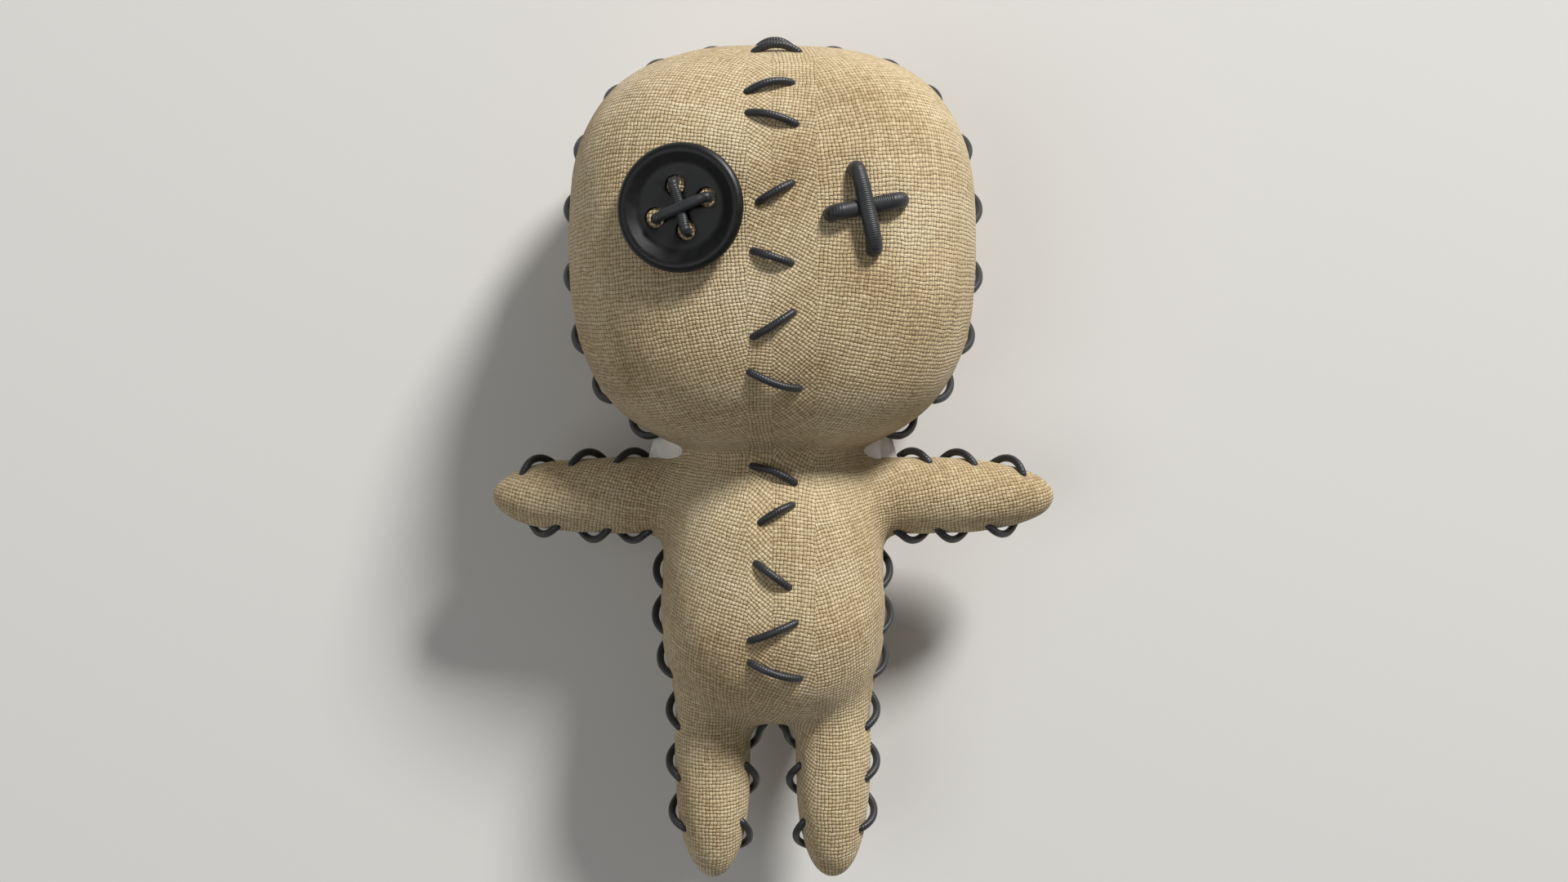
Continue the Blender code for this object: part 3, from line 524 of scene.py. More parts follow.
# Yarns to the metre both ways, the upright ones a little closer
WEAVE_COLUMNS = 1.02 / WEAVE_PITCH
WEAVE_ROWS = 1.0 / WEAVE_PITCH
WEAVE_WANDER = WEAVE_PITCH * 1.4
WEAVE_DEPTH = 0.00036
STRIP_EDGES = (-0.0061, 0.0109)
STRIP_TURN = math.radians(24.0)
WANDER_SCALE = per_metre(5.263)
PATCH_SCALE = per_metre(26.3)
JUTE_FIBRE_SCALE = per_metre(0.1923)
# Painted shade: the darker colour of the gaps between the yarns, where shade falls
PAINTED_GAP_SHADE = linear("#5E4A2E")
THREAD_DARK = linear("#AB926B")
THREAD_MID = linear("#CFBA93")
THREAD_LIGHT = linear("#E4D5B4")


def burlap(name, strip):
    """The cloth; a strip down the front of the doll is cut on the bias, so its weave runs aslant."""
    made, tree, shader = new_material(name)
    uv = add(tree, "UVMap", {}, uv_map="cloth")
    place = add(tree, "TexCoord", {}, "Object")
    if strip:
        x = add(tree, "SeparateXYZ", {0: place})
        past_left = add(tree, "Math", {0: x, 1: STRIP_EDGES[0]}, operation="GREATER_THAN")
        before_right = add(tree, "Math", {0: x, 1: STRIP_EDGES[1]}, operation="LESS_THAN")
        inside = add(tree, "Math", {0: past_left, 1: before_right}, operation="MULTIPLY")
        aslant = add(tree, "VectorRotate", {"Vector": uv, "Angle": STRIP_TURN}, rotation_type="Z_AXIS")
        uv = add(tree, "Mix", {"Factor": inside, 4: uv, 5: aslant}, 1, data_type="VECTOR")
    # Yarns wander a little sideways, by up to about half a pitch over some millimetres
    wander = add(tree, "TexNoise", {"Vector": uv, "Scale": WANDER_SCALE, "Detail": 2.0}, "Color")
    shifted = add(tree, "VectorMath", {0: wander, 1: (WEAVE_WANDER,) * 3, 2: uv}, operation="MULTIPLY_ADD")
    scaled = add(tree, "VectorMath", {0: shifted, 1: (WEAVE_COLUMNS, WEAVE_ROWS, 0.0)}, operation="MULTIPLY")
    u = add(tree, "SeparateXYZ", {0: scaled}, 0)
    v = add(tree, "SeparateXYZ", {0: scaled}, 1)
    column = add(tree, "Math", {0: u}, operation="FLOOR")
    row = add(tree, "Math", {0: v}, operation="FLOOR")
    cell = add(tree, "Math", {0: column, 1: row}, operation="ADD")
    parity = add(tree, "Math", {0: cell, 1: 2.0}, operation="FLOORED_MODULO")

    def off_middle(value, low_edge):
        """How far a value lies from the middle of its cell."""
        inner = add(tree, "Math", {0: value, 1: low_edge}, operation="SUBTRACT")
        inner = add(tree, "Math", {0: inner, 1: 0.5}, operation="SUBTRACT")
        return add(tree, "Math", {0: inner}, operation="ABSOLUTE")

    def dome(value, power):
        """One in the middle of a cell and nothing at its edge."""
        share = add(tree, "Math", {0: value, 1: 2.0}, operation="MULTIPLY")
        fall = add(tree, "Math", {0: share, 1: power}, operation="POWER")
        return add(tree, "Math", {0: 1.0, 1: fall}, operation="SUBTRACT")

    def crown(across, along):
        """Height of a yarn: round across, and arched along where it passes over the other."""
        arch = add(tree, "Math", {0: dome(along, 2.0), 1: 0.45, 2: 0.55}, operation="MULTIPLY_ADD")
        return add(tree, "Math", {0: dome(across, 2.4), 1: arch}, operation="MULTIPLY")

    def either(upright, level):
        """The upright yarn's value in one cell and the level yarn's in the next."""
        return add(tree, "Mix", {"Factor": parity, 2: upright, 3: level}, data_type="FLOAT")

    u_off, v_off = off_middle(u, column), off_middle(v, row)
    height = either(crown(u_off, v_off), crown(v_off, u_off))
    # Each yarn has its own shade, and thick and thin places along it
    column_shade = add(tree, "TexWhiteNoise", {"W": column}, "Value", noise_dimensions="1D")
    row_number = add(tree, "Math", {0: row, 1: 0.37}, operation="ADD")
    row_shade = add(tree, "TexWhiteNoise", {"W": row_number}, "Value", noise_dimensions="1D")
    shade = either(column_shade, row_shade)
    along_yarn = add(tree, "VectorMath", {0: scaled, 1: (0.45, 1.0, 1.0)}, operation="MULTIPLY")
    slubs = add(tree, "TexNoise", {"Vector": along_yarn, "Scale": 1.0, "Detail": 2.0})
    patches = add(tree, "TexNoise", {"Vector": place, "Scale": PATCH_SCALE, "Detail": 3.0})
    tone = add(tree, "Math", {0: slubs, 1: 0.7}, operation="MULTIPLY")
    tone = add(tree, "Math", {0: shade, 1: 0.22, 2: tone}, operation="MULTIPLY_ADD")
    tone = add(tree, "Math", {0: tone, 1: 0.42}, operation="SUBTRACT")
    tone = add(tree, "Math", {0: patches, 1: 0.9, 2: tone}, operation="MULTIPLY_ADD")
    threads = ((0.15, THREAD_DARK), (0.5, THREAD_MID), (0.85, THREAD_LIGHT))
    yarn = add(tree, "ValToRGB", {0: tone}, stops=threads)
    thinned = add(tree, "Math", {0: slubs, 1: 0.5, 2: -0.25}, operation="MULTIPLY_ADD")
    thinned = add(tree, "Math", {0: height, 1: thinned}, operation="ADD")
    # Painted shade: where a yarn runs low or thin, the colour turns to the darker gap colour, standing in for
    # the shade between the yarns
    gap_shade_mask = add(tree, "ValToRGB", {0: thinned}, stops=((0.08, (0, 0, 0, 1)), (0.50, (1, 1, 1, 1))))
    colour = add(tree, "Mix", {"Factor": gap_shade_mask, 6: PAINTED_GAP_SHADE, 7: yarn}, 2, data_type="RGBA")
    fibres = add(tree, "TexNoise", {"Vector": place, "Scale": JUTE_FIBRE_SCALE, "Detail": 2.0})
    relief = add(tree, "Math", {0: fibres, 1: 0.25, 2: height}, operation="MULTIPLY_ADD")
    normal = add(tree, "Bump", {"Strength": 0.85, "Distance": WEAVE_DEPTH, "Height": relief})
    join(tree, shader, {"Base Color": colour, "Normal": normal, "Roughness": 0.92})
    join(tree, shader, {"Specular IOR Level": 0.2, "Sheen Weight": 0.12, "Sheen Roughness": 0.5})
    return made


# Waxed cotton cord and yarn, wound: fine ribs run round it, and a soft highlight lies along its top
RIB_DEPTH = 0.00004
COTTON_FIBRE_SCALE = per_metre(0.3846)
WEAR_SCALE = per_metre(4.167)
COTTON_DARK = linear("#1F2022")


def wound_cord(name, light, rib_pitch, roughness):
    """The cord's or the yarn's look, from the pitch of its ribs."""
    made, tree, shader = new_material(name)
    # U goes once round the cord and V is its length in metres; a rib climbs one pitch on each turn
    uv = add(tree, "UVMap", {}, uv_map="along")
    turn = add(tree, "SeparateXYZ", {0: uv}, 0)
    length = add(tree, "SeparateXYZ", {0: uv}, 1)
    turns = add(tree, "Math", {0: length, 1: 1.0 / rib_pitch, 2: turn}, operation="MULTIPLY_ADD")
    angle = add(tree, "Math", {0: turns, 1: 2.0 * math.pi}, operation="MULTIPLY")
    rib = add(tree, "Math", {0: angle}, operation="SINE")
    place = add(tree, "TexCoord", {}, "Object")
    fibres = add(tree, "TexNoise", {"Vector": place, "Scale": COTTON_FIBRE_SCALE, "Detail": 3.0})
    wear = add(tree, "TexNoise", {"Vector": place, "Scale": WEAR_SCALE, "Detail": 2.0})
    # The colour follows the ribs and fibres of the bump, lighter on their crests and darker in the grooves,
    # which is painted shade; the wear noise is the cord's own uneven tone
    tone = add(tree, "Math", {0: wear, 1: 0.7, 2: 0.12}, operation="MULTIPLY_ADD")
    tone = add(tree, "Math", {0: rib, 1: 0.22, 2: tone}, operation="MULTIPLY_ADD")
    tone = add(tree, "Math", {0: tone, 1: 0.15}, operation="SUBTRACT")
    tone = add(tree, "Math", {0: fibres, 1: 0.3, 2: tone}, operation="MULTIPLY_ADD")
    colour = add(tree, "ValToRGB", {0: tone}, stops=((0.1, COTTON_DARK), (0.9, light)))
    relief = add(tree, "Math", {0: fibres, 1: 0.5, 2: rib}, operation="MULTIPLY_ADD")
    normal = add(tree, "Bump", {"Strength": 0.6, "Distance": RIB_DEPTH, "Height": relief})
    join(tree, shader, {"Base Color": colour, "Normal": normal, "Roughness": roughness})
    join(tree, shader, {"Specular IOR Level": 0.5, "Sheen Weight": 0.1, "Sheen Roughness": 0.4})
    return made


# Moulded polyester button, satin black: an even dark face with faint turning marks and a little dust
RING_SCALE = per_metre(0.4167)
RING_DEPTH = 0.00002
DUST_SCALE = per_metre(2.381)
GRAIN_SCALE = per_metre(0.3333)


def satin_button(name):
    """The button's look."""
    made, tree, shader = new_material(name)
    uv = add(tree, "UVMap", {}, uv_map="face")
    radius = add(tree, "VectorMath", {0: uv}, "Value", operation="LENGTH")
    outwards = add(tree, "Math", {0: radius, 1: RING_SCALE}, operation="MULTIPLY")
    rings = add(tree, "TexNoise", {"W": outwards, "Detail": 2.0}, noise_dimensions="1D")
    place = add(tree, "TexCoord", {}, "Object")
    dust = add(tree, "TexNoise", {"Vector": place, "Scale": DUST_SCALE, "Detail": 4.0})
    shades = ((0.35, linear("#090A0B")), (0.75, linear("#111214")))
    colour = add(tree, "ValToRGB", {0: dust}, stops=shades)
    grain = add(tree, "TexNoise", {"Vector": place, "Scale": GRAIN_SCALE, "Detail": 2.0})
    relief = add(tree, "Math", {0: grain, 1: 0.5, 2: rings}, operation="MULTIPLY_ADD")
    normal = add(tree, "Bump", {"Strength": 0.35, "Distance": RING_DEPTH, "Height": relief})
    rough = add(tree, "Math", {0: dust, 1: 0.20, 2: 0.32}, operation="MULTIPLY_ADD")
    join(tree, shader, {"Base Color": colour, "Normal": normal, "Roughness": rough})
    join(tree, shader, {"IOR": 1.5, "Specular IOR Level": 0.38})
    return made


# Polyester fibre filling: loose white fluff, matt, with soft tufts
TUFT_SCALE = per_metre(3.333)
TUFT_DEPTH = 0.0008


def fluff(name):
    """The filling's look."""
    made, tree, shader = new_material(name)
    place = add(tree, "TexCoord", {}, "Object")
    tufts = add(tree, "TexNoise", {"Vector": place, "Scale": TUFT_SCALE, "Detail": 5.0})
    # Painted shade: the same noise as the bumps paints the low places between the tufts darker and the tufts'
    # tops lighter
    shades = ((0.3, linear("#D9D6CD")), (0.7, linear("#F1EFE8")))
    colour = add(tree, "ValToRGB", {0: tufts}, stops=shades)
    normal = add(tree, "Bump", {"Strength": 0.8, "Distance": TUFT_DEPTH, "Height": tufts})
    join(tree, shader, {"Base Color": colour, "Normal": normal, "Roughness": 0.95})
    return made


BURLAP = burlap("jute_burlap", False)
FRONT_BURLAP = burlap("jute_burlap_front", True)
CORD_FINISH = wound_cord("waxed_cotton_cord", linear("#323437"), 0.0007, 0.42)
YARN_FINISH = wound_cord("wound_cotton_yarn", linear("#333538"), 0.00048, 0.46)
BUTTON_FINISH = satin_button("satin_polyester")
FLUFF = fluff("polyester_fibre")


# Cloth: three panels on the body's skin, drawn in a little at the seams, the stitches and the eyes
SEAM_GAP = 0.00004
# Points this near a seam are moved onto it, and points this near count as lying on it
SEAM_SNAP = 0.0011
ON_SEAM = 1e-5
SKIN_GRAIN = 0.0024
FILLING_GRAIN = 0.004
SHARP_ANGLE = math.radians(55.0)
# Depth and reach of each hollow in the cloth
SEAM_HOLLOW = (0.00010, 0.0013)
FOOT_HOLLOW = (0.00025, 0.0017)
STITCH_HOLLOW = (0.00010, 0.0024)
EYE_HOLLOW = (0.00060, 0.0030)
# How many times the soft unevenness changes in a metre, and its depth
UNEVEN = ((55.0, 0.00034), (160.0, 0.00012))
# The cloth swells up against the underside of the button, and further in its holes
UNDER_BUTTON = 0.0085
UNDER_BUTTON_EDGE = 0.003
BUTTON_TOUCH_GAP = 0.0002
BUTTON_SWELL_MOST = 0.0022
HOLE_SWELL = 0.0016
FINE_UNDER_BUTTON = 0.0115
STITCH_ENDS = [
    (start, end)
    for feet in (FRONT_FEET, HEAD_FEET, SIDE_FEET, [tuple(mirrored(pair)) for pair in SIDE_FEET])
    for start, end in feet
]
FEET = np.array([foot for pair in STITCH_ENDS for foot in pair])


def hollow(gap, size):
    """How deep a hollow is at a distance from its middle."""
    depth, reach = size
    return depth * np.exp(-((gap / reach) ** 2))


def relief(points):
    """How far the cloth lies inside the smooth skin at each point: dimples, seams and soft unevenness."""
    depth = np.zeros(len(points))
    for axis, level in ((2, SEAM_HEIGHT), (0, 0.0)):
        gap = np.abs(points[:, axis] - level)
        here = np.ones(len(points), bool) if axis == 2 else points[:, 2] > SEAM_HEIGHT - 0.001
        depth += np.where(here, hollow(gap, SEAM_HOLLOW), 0.0)
    for foot in FEET:
        depth += hollow(np.linalg.norm(points - foot, axis=1), FOOT_HOLLOW)
    for start, end in STITCH_ENDS:
        span = end - start
        share = np.clip(((points - start) @ span) / (span @ span), 0.0, 1.0)
        gap = np.linalg.norm(points - start - share[:, None] * span, axis=1)
        depth += hollow(gap, STITCH_HOLLOW)
    for foot in EYE_FEET:
        depth += hollow(np.linalg.norm(points - foot, axis=1), EYE_HOLLOW)
    middle, across, up, out = BUTTON_EYE
    offset = points - middle
    reach = np.hypot(offset @ across, offset @ up)
    near = np.clip((UNDER_BUTTON + UNDER_BUTTON_EDGE - reach) / UNDER_BUTTON_EDGE, 0.0, 1.0)
    room = np.clip(BUTTON_LIFT - BUTTON_TOUCH_GAP - offset @ out, 0.0, BUTTON_SWELL_MOST)
    for x, y in HOLE_SPOTS:
        inside = np.hypot(offset @ across - x, offset @ up - y) / BUTTON_HOLE_RADIUS
        room += HOLE_SWELL * np.clip(3.0 - 3.0 * inside**2, 0.0, 1.0)
    covered = (near > 0.0) & (points[:, 2] > SEAM_HEIGHT)
    depth = np.where(covered, -near * room, depth)
    for order in np.flatnonzero(~covered):
        point = points[order]
        depth[order] += sum(noise.noise(Vector(point * scale)) * deep for scale, deep in UNEVEN)
        depth[order] -= swelling(point)
    return depth


def cut_along(skin, axis, level, keep):
    """Keeps one side of a flat cut through the skin."""
    normal = [0.0, 0.0, 0.0]
    normal[axis] = 1.0
    for vert in skin.verts:
        if abs(vert.co[axis] - level) < SEAM_SNAP:
            vert.co[axis] = level
    bmesh.ops.bisect_plane(
        skin,
        geom=skin.verts[:] + skin.edges[:] + skin.faces[:],
        dist=1e-6,
        plane_co=[value * level for value in normal],
        plane_no=normal,
        clear_inner=keep > 0,
        clear_outer=keep < 0,
    )
    for vert in skin.verts:
        if abs(vert.co[axis] - level) < ON_SEAM:
            vert.co[axis] = level + keep * SEAM_GAP / 2.0


def lay_weave(item):
    """Flattens a panel as its cloth was cut, so that the weave runs along the doll in real millimetres."""
    bpy.ops.object.select_all(action="DESELECT")
    bpy.context.view_layer.objects.active = item
    item.select_set(True)
    item.data.uv_layers.new(name="cloth")
    bpy.ops.object.mode_set(mode="EDIT")
    bpy.ops.mesh.select_all(action="SELECT")
    bpy.ops.uv.unwrap(method="MINIMUM_STRETCH", margin=0.0, iterations=60)
    bpy.ops.object.mode_set(mode="OBJECT")
    mesh = item.data
    flat = np.empty(len(mesh.loops) * 2)
    mesh.uv_layers["cloth"].data.foreach_get("uv", flat)
    flat = flat.reshape(-1, 2)
    corners = np.empty(len(mesh.loops), int)
    mesh.loops.foreach_get("vertex_index", corners)
    points = np.empty(len(mesh.vertices) * 3)
    mesh.vertices.foreach_get("co", points)
    plan = points.reshape(-1, 3)[corners][:, :2]
    areas = []
    for face in mesh.polygons:
        ring = flat[list(face.loop_indices)]
        x, y = ring[:, 0], ring[:, 1]
        areas.append(abs(np.dot(x, np.roll(y, 1)) - np.dot(y, np.roll(x, 1))) / 2.0)
    flat = flat - flat.mean(axis=0)
    flat *= math.sqrt(sum(face.area for face in mesh.polygons) / sum(areas))
    turn, _, other = np.linalg.svd(flat.T @ (plan - plan.mean(axis=0)))
    flat = flat @ (turn @ other)
    mesh.uv_layers["cloth"].data.foreach_set("uv", flat.ravel())


def cloth_panel(name, cuts, look, nodes):
    """One panel of the doll's cloth, cut out of the skin, finely meshed and given its thickness inwards."""
    made = SKIN.copy()
    for axis, level, keep in cuts:
        cut_along(made, axis, level, keep)
    item = to_object(name, made)
    lay_weave(item)
    finer = item.modifiers.new("finer", "SUBSURF")
    finer.levels = finer.render_levels = 1
    made = applied(item)
    # Under the button the cloth is meshed finer still, for its swelling in the holes
    middle = Vector(BUTTON_EYE[0])
    near = {vert for vert in made.verts if (vert.co - middle).length < FINE_UNDER_BUTTON}
    under = [edge for edge in made.edges if near.issuperset(edge.verts)]
    if under:
        bmesh.ops.subdivide_edges(made, edges=under, cuts=2, use_grid_fill=True)
    points = vert_points(made)
    held = points.copy()
    points = settle(points)
    _, outs = body_field(points)
    points -= outs * relief(points)[:, None]
    for axis, level, keep in cuts:
        edge = np.abs(held[:, axis] - level - keep * SEAM_GAP / 2.0) < ON_SEAM
        points[edge, axis] = level + keep * SEAM_GAP / 2.0
    points[:, 2] = np.maximum(points[:, 2], 0.0)
    move_verts(made, points)
    item = to_object(name, made)
    thick = item.modifiers.new("thickness", "SOLIDIFY")
    thick.thickness = CLOTH
    thick.offset = -1.0
    item = to_object(name, applied(item))
    finish_piece(item, look, nodes)
    item.data.set_sharp_from_angle(angle=SHARP_ANGLE)


# The filling pushes the cloth out between its seams: a coarse copy of the body, held at its stitches, is
# blown up with a cloth simulation, and the fine cloth takes its swelling over
PUFF_GRAIN = 0.0042
PUFF_START_DEPTH = 0.0002
PUFF_MOST = 0.0012
PUFF_FRAMES = 20
PUFF_PRESSURE = 4.0
PUFF_MASS = 0.2
# How near a seam, a stitch foot and the floor the coarse body is held
HELD_BY_SEAM = 0.0023
HELD_BY_FOOT = 0.0026
HELD_BY_FLOOR = 0.0008
# Neighbours that one fine point takes its swelling from, and how evenly they count, in square metres
SWELL_NEIGHBOURS = 8
SWELL_EVENNESS = 4e-6


def puffed():
    """Start points of the coarse body and how far each of them swells out along its own direction."""
    item = to_object("blown", body_skin(PUFF_GRAIN, PUFF_START_DEPTH))
    start = np.array([vert.co[:] for vert in item.data.vertices])
    held = item.vertex_groups.new(name="held")
    for order, point in enumerate(start):
        on_side_seam = abs(point[2] - SEAM_HEIGHT) < HELD_BY_SEAM
        on_front_seam = point[2] > SEAM_HEIGHT and abs(point[0]) < HELD_BY_SEAM
        near_foot = np.min(np.linalg.norm(FEET - point, axis=1)) < HELD_BY_FOOT
        if on_side_seam or on_front_seam or near_foot or point[2] < HELD_BY_FLOOR:
            held.add([order], 1.0, "REPLACE")
    cloth = item.modifiers.new("cloth", "CLOTH")
    cloth.settings.quality = 5
    cloth.settings.mass = PUFF_MASS
    cloth.settings.use_pressure = True
    cloth.settings.uniform_pressure_force = PUFF_PRESSURE
    cloth.settings.vertex_group_mass = "held"
    cloth.settings.effector_weights.gravity = 0.0
    cloth.point_cache.frame_start = 1
    cloth.point_cache.frame_end = PUFF_FRAMES
    scene = bpy.context.scene
    for number in range(1, PUFF_FRAMES + 1):
        scene.frame_set(number)
    graph = bpy.context.evaluated_depsgraph_get()
    blown = item.evaluated_get(graph).to_mesh()
    ends = np.array([vert.co[:] for vert in blown.vertices])
    scene.frame_set(1)
    bpy.data.objects.remove(item, do_unlink=True)
    _, outs = body_field(start)
    return start, np.clip(((ends - start) * outs).sum(axis=1), 0.0, PUFF_MOST)


PUFF_POINTS, PUFF_SWELL = puffed()
PUFF_TREE = kdtree.KDTree(len(PUFF_POINTS))
for order, point in enumerate(PUFF_POINTS):
    PUFF_TREE.insert(point, order)
PUFF_TREE.balance()


def swelling(point):
    """The swelling of the coarse body near one point, smoothed over its neighbours."""
    total = weight = 0.0
    for _, order, gap in PUFF_TREE.find_n(point, SWELL_NEIGHBOURS):
        share = 1.0 / (gap * gap + SWELL_EVENNESS)
        total += PUFF_SWELL[order] * share
        weight += share
    return total / weight - PUFF_START_DEPTH


SKIN = body_skin(SKIN_GRAIN, 0.0)
cloth_panel("back_cloth", ((2, SEAM_HEIGHT, -1),), BURLAP, ("back_panel",))
cloth_panel("front_left_cloth", ((2, SEAM_HEIGHT, 1), (0, 0.0, -1)), FRONT_BURLAP, ("front_left_panel",))
cloth_panel("front_right_cloth", ((2, SEAM_HEIGHT, 1), (0, 0.0, 1)), FRONT_BURLAP, ("front_right_panel",))
SKIN.free()

filling = body_skin(FILLING_GRAIN, STUFFING_DEPTH)
for vert in filling.verts:
    vert.co.z = max(vert.co.z, CLOTH + CLEARANCE)
filling_piece = finish_piece(to_object("fibre_filling", filling), FLUFF, ("stuffing",))


# Cords and yarns: a tube with flat ends along a smooth line through the points
CORD_SIDES = 14
CORD_PIECES = 5
YARN_SIDES = 28
YARN_PIECES = 8


def smooth_line(points, pieces):
    """A rounder line through the same points."""
    spots = np.array(points)
    ends = np.concatenate([[2 * spots[0] - spots[1]], spots, [2 * spots[-1] - spots[-2]]])
    line = []
    for order in range(1, len(ends) - 2):
        a, b, c, d = ends[order - 1 : order + 3]
        for piece in range(pieces):
            t = piece / pieces
            bend, twist = 2 * a - 5 * b + 4 * c - d, 3 * b - a - 3 * c + d
            line.append(0.5 * (2 * b + (c - a) * t + bend * t**2 + twist * t**3))
    line.append(ends[-2])
    return np.array(line)


def cord_mesh(line, radius, sides, thin=None, way=None):
    """A closed tube along a line, with a map of once round and metres along; thin flattens it along a way."""
    made = bmesh.new()
    marks = made.loops.layers.uv.new("along")
    start = bmesh.ops.create_circle(made, cap_ends=False, segments=sides, radius=radius)["verts"]
    spots = [Vector(spot) for spot in line]
    alongs = []
    for order in range(len(spots)):
        ahead = spots[min(order + 1, len(spots) - 1)] - spots[max(order - 1, 0)]
        alongs.append(ahead.normalized())
    frame_side = alongs[0].orthogonal().normalized()
    ring_shape = [vert.co.copy() for vert in start]
    bmesh.ops.delete(made, geom=start, context="VERTS")
    rings = []
    lengths = [0.0]
    for order, (spot, along) in enumerate(zip(spots, alongs)):
        if order:
            lengths.append(lengths[-1] + (spot - spots[order - 1]).length)
        frame_side = (frame_side - along * frame_side.dot(along)).normalized()
        other = along.cross(frame_side)
        ring = []
        for shape in ring_shape:
            reach = frame_side * shape.x + other * shape.y
            if thin is not None:
                reach -= way * reach.dot(way) * (1.0 - thin[order])
            ring.append(made.verts.new(spot + reach))
        rings.append(ring)
    for order in range(len(rings) - 1):
        for step in range(sides):
            follow = (step + 1) % sides
            face = made.faces.new(
                (rings[order][step], rings[order][follow], rings[order + 1][follow], rings[order + 1][step])
            )
            places = (
                (step / sides, lengths[order]),
                ((step + 1) / sides, lengths[order]),
                ((step + 1) / sides, lengths[order + 1]),
                (step / sides, lengths[order + 1]),
            )
            for corner, place in zip(face.loops, places):
                corner[marks].uv = place
    for ring in (rings[0], rings[-1][::-1]):
        made.faces.new(ring)
    bmesh.ops.recalc_face_normals(made, faces=made.faces)
    return made


for name, line, node in (
    ("front_stitching", FRONT_LINE, "front_seam_cord"),
    ("head_stitching", HEAD_LINE, "head_seam_cord"),
    ("right_stitching", SIDE_LINE, "right_side_cord"),
    ("left_stitching", mirrored(SIDE_LINE), "left_side_cord"),
):
    cord_piece = to_object(name, cord_mesh(smooth_line(line, CORD_PIECES), CORD_SHOWN_RADIUS, CORD_SIDES))
    finish_piece(cord_piece, CORD_FINISH, (node,))


def eye_line(eye, strokes, radius, base, heights, run_depth):
    """Middle line and flattening of one yarn over its strokes; each stroke is ((x, y), (x, y))."""
    middle, across, up, out = eye
    line = []
    flat = []

    def put(x, y, height, thin=1.0):
        line.append(middle + across * x + up * y + out * height)
        flat.append(thin)

    def under_cloth(spot, other, shift):
        x, y = mixed(spot, other, toward(spot, other, shift))
        put(x, y, cloth_level(eye, x, y) - run_depth)

    first, last = strokes[0], strokes[-1]
    under_cloth(first[0], first[1], 2.2 * radius)
    for order, (start, end) in enumerate(strokes):
        under_cloth(start, first[1] if order == 0 else strokes[order - 1][1], 0.9 * radius)
        put(*start, cloth_level(eye, *start) - CLOTH - CLEARANCE)
        if base is None:
            low_start, low_end = cloth_level(eye, *start), cloth_level(eye, *end)
        else:
            low_start = low_end = base
        top = heights[order]
        half = (1.0 + YARN_SQUASH) / 2.0
        for share, rise, thin in (
            (0.0, 0.5 * radius, 1.0),
            (0.09, 1.1 * radius, 1.0),
            (0.22, 0.45 * top + 0.75 * radius, half),
            (0.5, top, YARN_SQUASH),
            (0.78, 0.45 * top + 0.75 * radius, half),
            (0.91, 1.1 * radius, 1.0),
            (1.0, 0.5 * radius, 1.0),
        ):
            level = low_start * (1.0 - share) + low_end * share
            put(*mixed(start, end, share), level + rise + CLEARANCE, thin)
        put(*end, cloth_level(eye, *end) - CLOTH - CLEARANCE)
        if order + 1 < len(strokes):
            under_cloth(end, strokes[order + 1][0], 0.9 * radius)
    under_cloth(last[1], last[0], 0.9 * radius)
    under_cloth(last[1], last[0], 2.2 * radius)
    return line, flat


def eye_yarn(name, eye, strokes, radius, base, plump, node):
    """The two crossing strokes of one eye; base is the height they lie on, or None for the cloth itself."""
    low = radius * YARN_SQUASH + CLEARANCE
    high = low + 1.25 * radius * YARN_SQUASH
    line, flat = eye_line(eye, strokes, radius, base, (low, high), CLOTH + CLEARANCE + radius)
    thin = smooth_line([(value, 0.0, 0.0) for value in flat], YARN_PIECES)[:, 0]
    middle_line = smooth_line(line, YARN_PIECES)
    made = cord_mesh(middle_line, radius * plump, YARN_SIDES, thin, Vector(eye[3]))
    finish_piece(to_object(name, made), YARN_FINISH, (node,))


eye_yarn(
    "cross_eye_stitch",
    CROSS_EYE,
    CROSS_STROKES,
    CROSS_YARN_RADIUS,
    None,
    CROSS_YARN_PLUMP,
    "cross_eye_yarn",
)
eye_yarn(
    "button_eye_stitch",
    BUTTON_EYE,
    ((YARN_FEET[0], YARN_FEET[1]), (YARN_FEET[2], YARN_FEET[3])),
    BUTTON_YARN_RADIUS,
    BUTTON_LIFT + BUTTON_THICK - BUTTON_RECESS,
    BUTTON_YARN_PLUMP,
    "button_yarn",
)


# Button: turned from its profile, the rim raised round a flat recess, with four holes drilled through
def eye_matrix(eye, lift):
    """Moves what is made round the origin to an eye, that high over its middle."""
    middle, across, up, out = eye
    turn = Matrix((across, up, out)).transposed().to_4x4()
    return Matrix.Translation(Vector(middle + out * lift)) @ turn


def turned(profile, segments):
    """A closed body turned about Z from a line of (radius, height)."""
    made = bmesh.new()
    verts = [made.verts.new((radius, 0.0, height)) for radius, height in profile]
    edges = [made.edges.new(pair) for pair in zip(verts, verts[1:])]
    bmesh.ops.spin(
        made,
        geom=verts + edges,
        cent=(0.0, 0.0, 0.0),
        axis=(0.0, 0.0, 1.0),
        angle=2.0 * math.pi,
        steps=segments,
        use_merge=True,
    )
    bmesh.ops.remove_doubles(made, verts=made.verts, dist=1e-6)
    bmesh.ops.recalc_face_normals(made, faces=made.faces)
    return made


def rounded(corners, reach, steps):
    """A profile line with its inner corners rounded by up to that reach."""
    line = [corners[0]]
    for before, corner, after in zip(corners, corners[1:], corners[2:]):
        a, b, c = Vector(before), Vector(corner), Vector(after)
        cut = min(reach, (a - b).length * 0.45, (c - b).length * 0.45)
        start, end = b + (a - b).normalized() * cut, b + (c - b).normalized() * cut
        for step in range(steps + 1):
            t = step / steps
            spot = start * (1 - t) ** 2 + b * 2 * t * (1 - t) + end * t**2
            line.append((spot.x, spot.y))
    line.append(corners[-1])
    return line


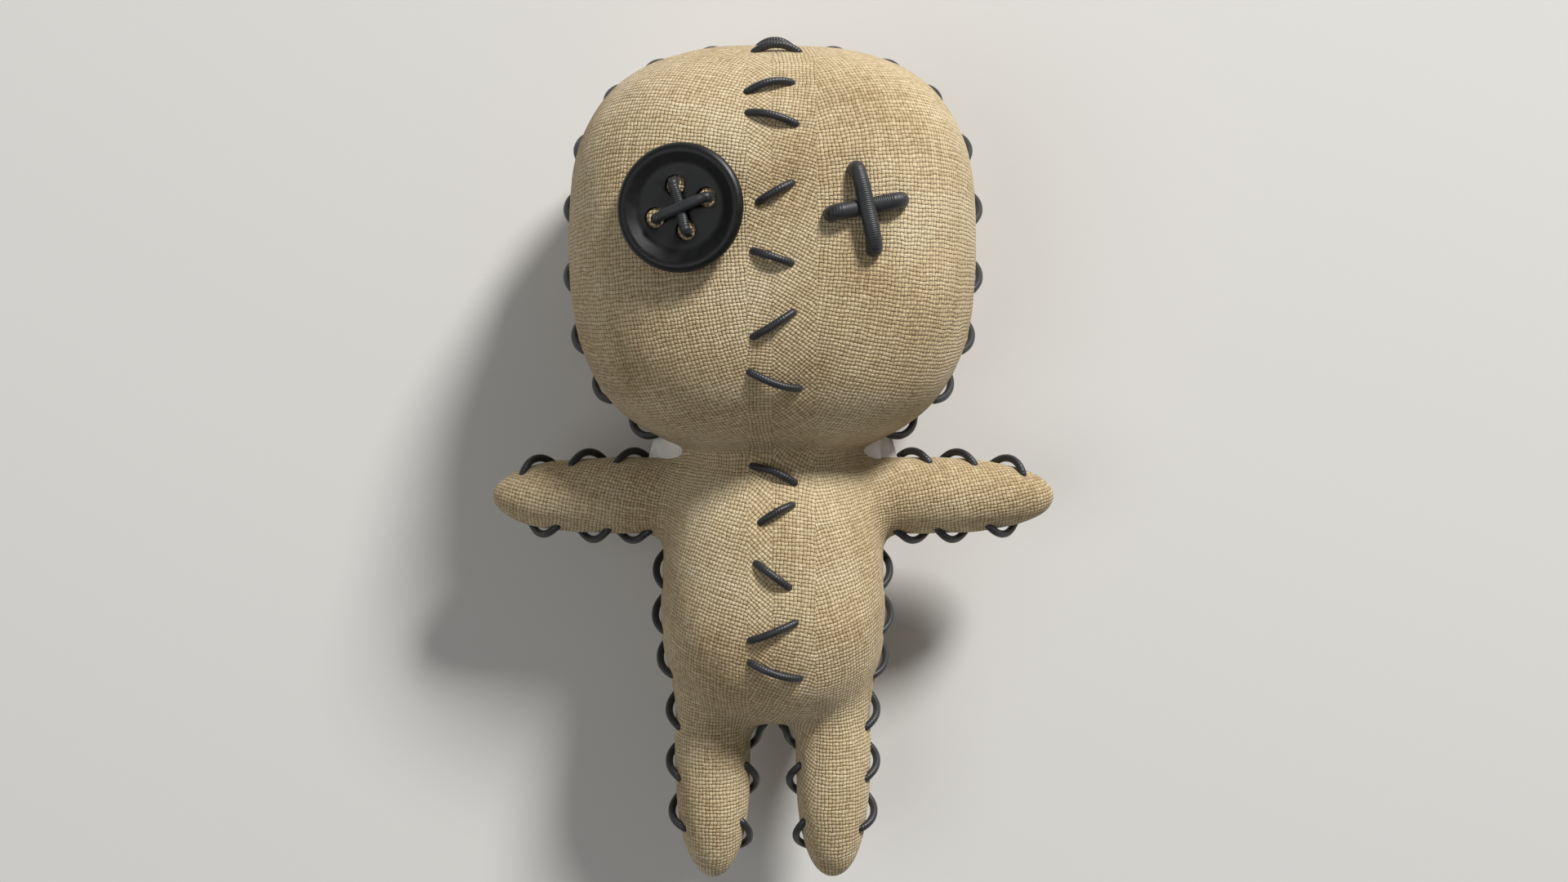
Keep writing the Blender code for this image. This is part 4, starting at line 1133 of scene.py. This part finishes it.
BUTTON_SEGMENTS = 96
HOLE_SEGMENTS = 48
BUTTON_SOFT_EDGE = 0.00022
rim = BUTTON_RADIUS - BUTTON_RIM_WIDTH
floor_height = BUTTON_THICK - BUTTON_RECESS
BUTTON_PROFILE = rounded(
    [
        (0.0, 0.0),
        (BUTTON_RADIUS - 0.0012, 0.0),
        (BUTTON_RADIUS, 0.0012),
        (BUTTON_RADIUS, BUTTON_THICK - 0.0009),
        (BUTTON_RADIUS - 0.0010, BUTTON_THICK),
        (rim + 0.0006, BUTTON_THICK),
        (rim - 0.0024, floor_height),
        (0.0, floor_height),
    ],
    0.0009,
    5,
)
button = to_object("button", turned(BUTTON_PROFILE, BUTTON_SEGMENTS))
drills = bmesh.new()
for x, y in HOLE_SPOTS:
    bmesh.ops.create_cone(
        drills,
        cap_ends=True,
        segments=HOLE_SEGMENTS,
        radius1=BUTTON_HOLE_RADIUS,
        radius2=BUTTON_HOLE_RADIUS,
        depth=4.0 * BUTTON_THICK,
        matrix=Matrix.Translation((x, y, floor_height / 2.0)),
    )
drill_tool = to_object("drills", drills)
holes = button.modifiers.new("holes", "BOOLEAN")
holes.operation = "DIFFERENCE"
holes.solver = "EXACT"
holes.object = drill_tool
soft_edge = button.modifiers.new("soft_edge", "BEVEL")
soft_edge.width = BUTTON_SOFT_EDGE
soft_edge.segments = 2
soft_edge.limit_method = "ANGLE"
soft_edge.angle_limit = math.radians(50.0)
button_mesh = applied(button)
bpy.data.objects.remove(drill_tool, do_unlink=True)
face_map = button_mesh.loops.layers.uv.new("face")
for face in button_mesh.faces:
    for corner in face.loops:
        corner[face_map].uv = corner.vert.co.xy
button_mesh.transform(eye_matrix(BUTTON_EYE, BUTTON_LIFT))
button_piece = to_object("button", button_mesh)
finish_piece(button_piece, BUTTON_FINISH, ("button_eye",))


# Floor, soft studio light and the camera, straight above the doll
floor_mesh = bmesh.new()
bmesh.ops.create_grid(floor_mesh, x_segments=2, y_segments=2, size=3.0)
floor_piece = to_object("floor", floor_mesh)
floor_look, floor_tree, floor_shader = new_material("pale_floor")
join(floor_tree, floor_shader, {"Base Color": linear("#D9D8D5"), "Roughness": 0.9})
floor_piece.data.materials.append(floor_look)
floor_piece.location.z = -0.0002
LAMP_TARGET = Vector((0.0, 0.0, 0.03))


def soft_lamp(name, place, size, power, colour):
    """A round lamp that faces the doll."""
    lamp = bpy.data.lights.new(name, "AREA")
    lamp.shape = "DISK"
    lamp.size = size
    lamp.energy = power
    lamp.color = colour
    item = bpy.data.objects.new(name, lamp)
    item.location = place
    way = LAMP_TARGET - Vector(place)
    item.rotation_euler = way.to_track_quat("-Z", "Y").to_euler()
    bpy.context.scene.collection.objects.link(item)


soft_lamp("key", (1.25, 2.0, 1.55), 0.60, 96.0, (1.0, 0.985, 0.965))
soft_lamp("fill", (-1.2, -0.3, 2.0), 1.6, 9.0, (0.98, 0.99, 1.0))
world = bpy.data.worlds.new("studio")
bpy.context.scene.world = world
world.use_nodes = True
backdrop = world.node_tree.nodes["Background"]
backdrop.inputs["Color"].default_value = (1.0, 1.0, 1.0, 1.0)
backdrop.inputs["Strength"].default_value = 0.17

camera = bpy.data.cameras.new("camera")
camera.lens = 50.0
camera.sensor_width = 36.0
camera_piece = bpy.data.objects.new("camera", camera)
camera_piece.location = (0.0029, 0.0052, 0.607)
bpy.context.scene.collection.objects.link(camera_piece)
bpy.context.scene.camera = camera_piece
bpy.context.scene.view_settings.view_transform = "Standard"
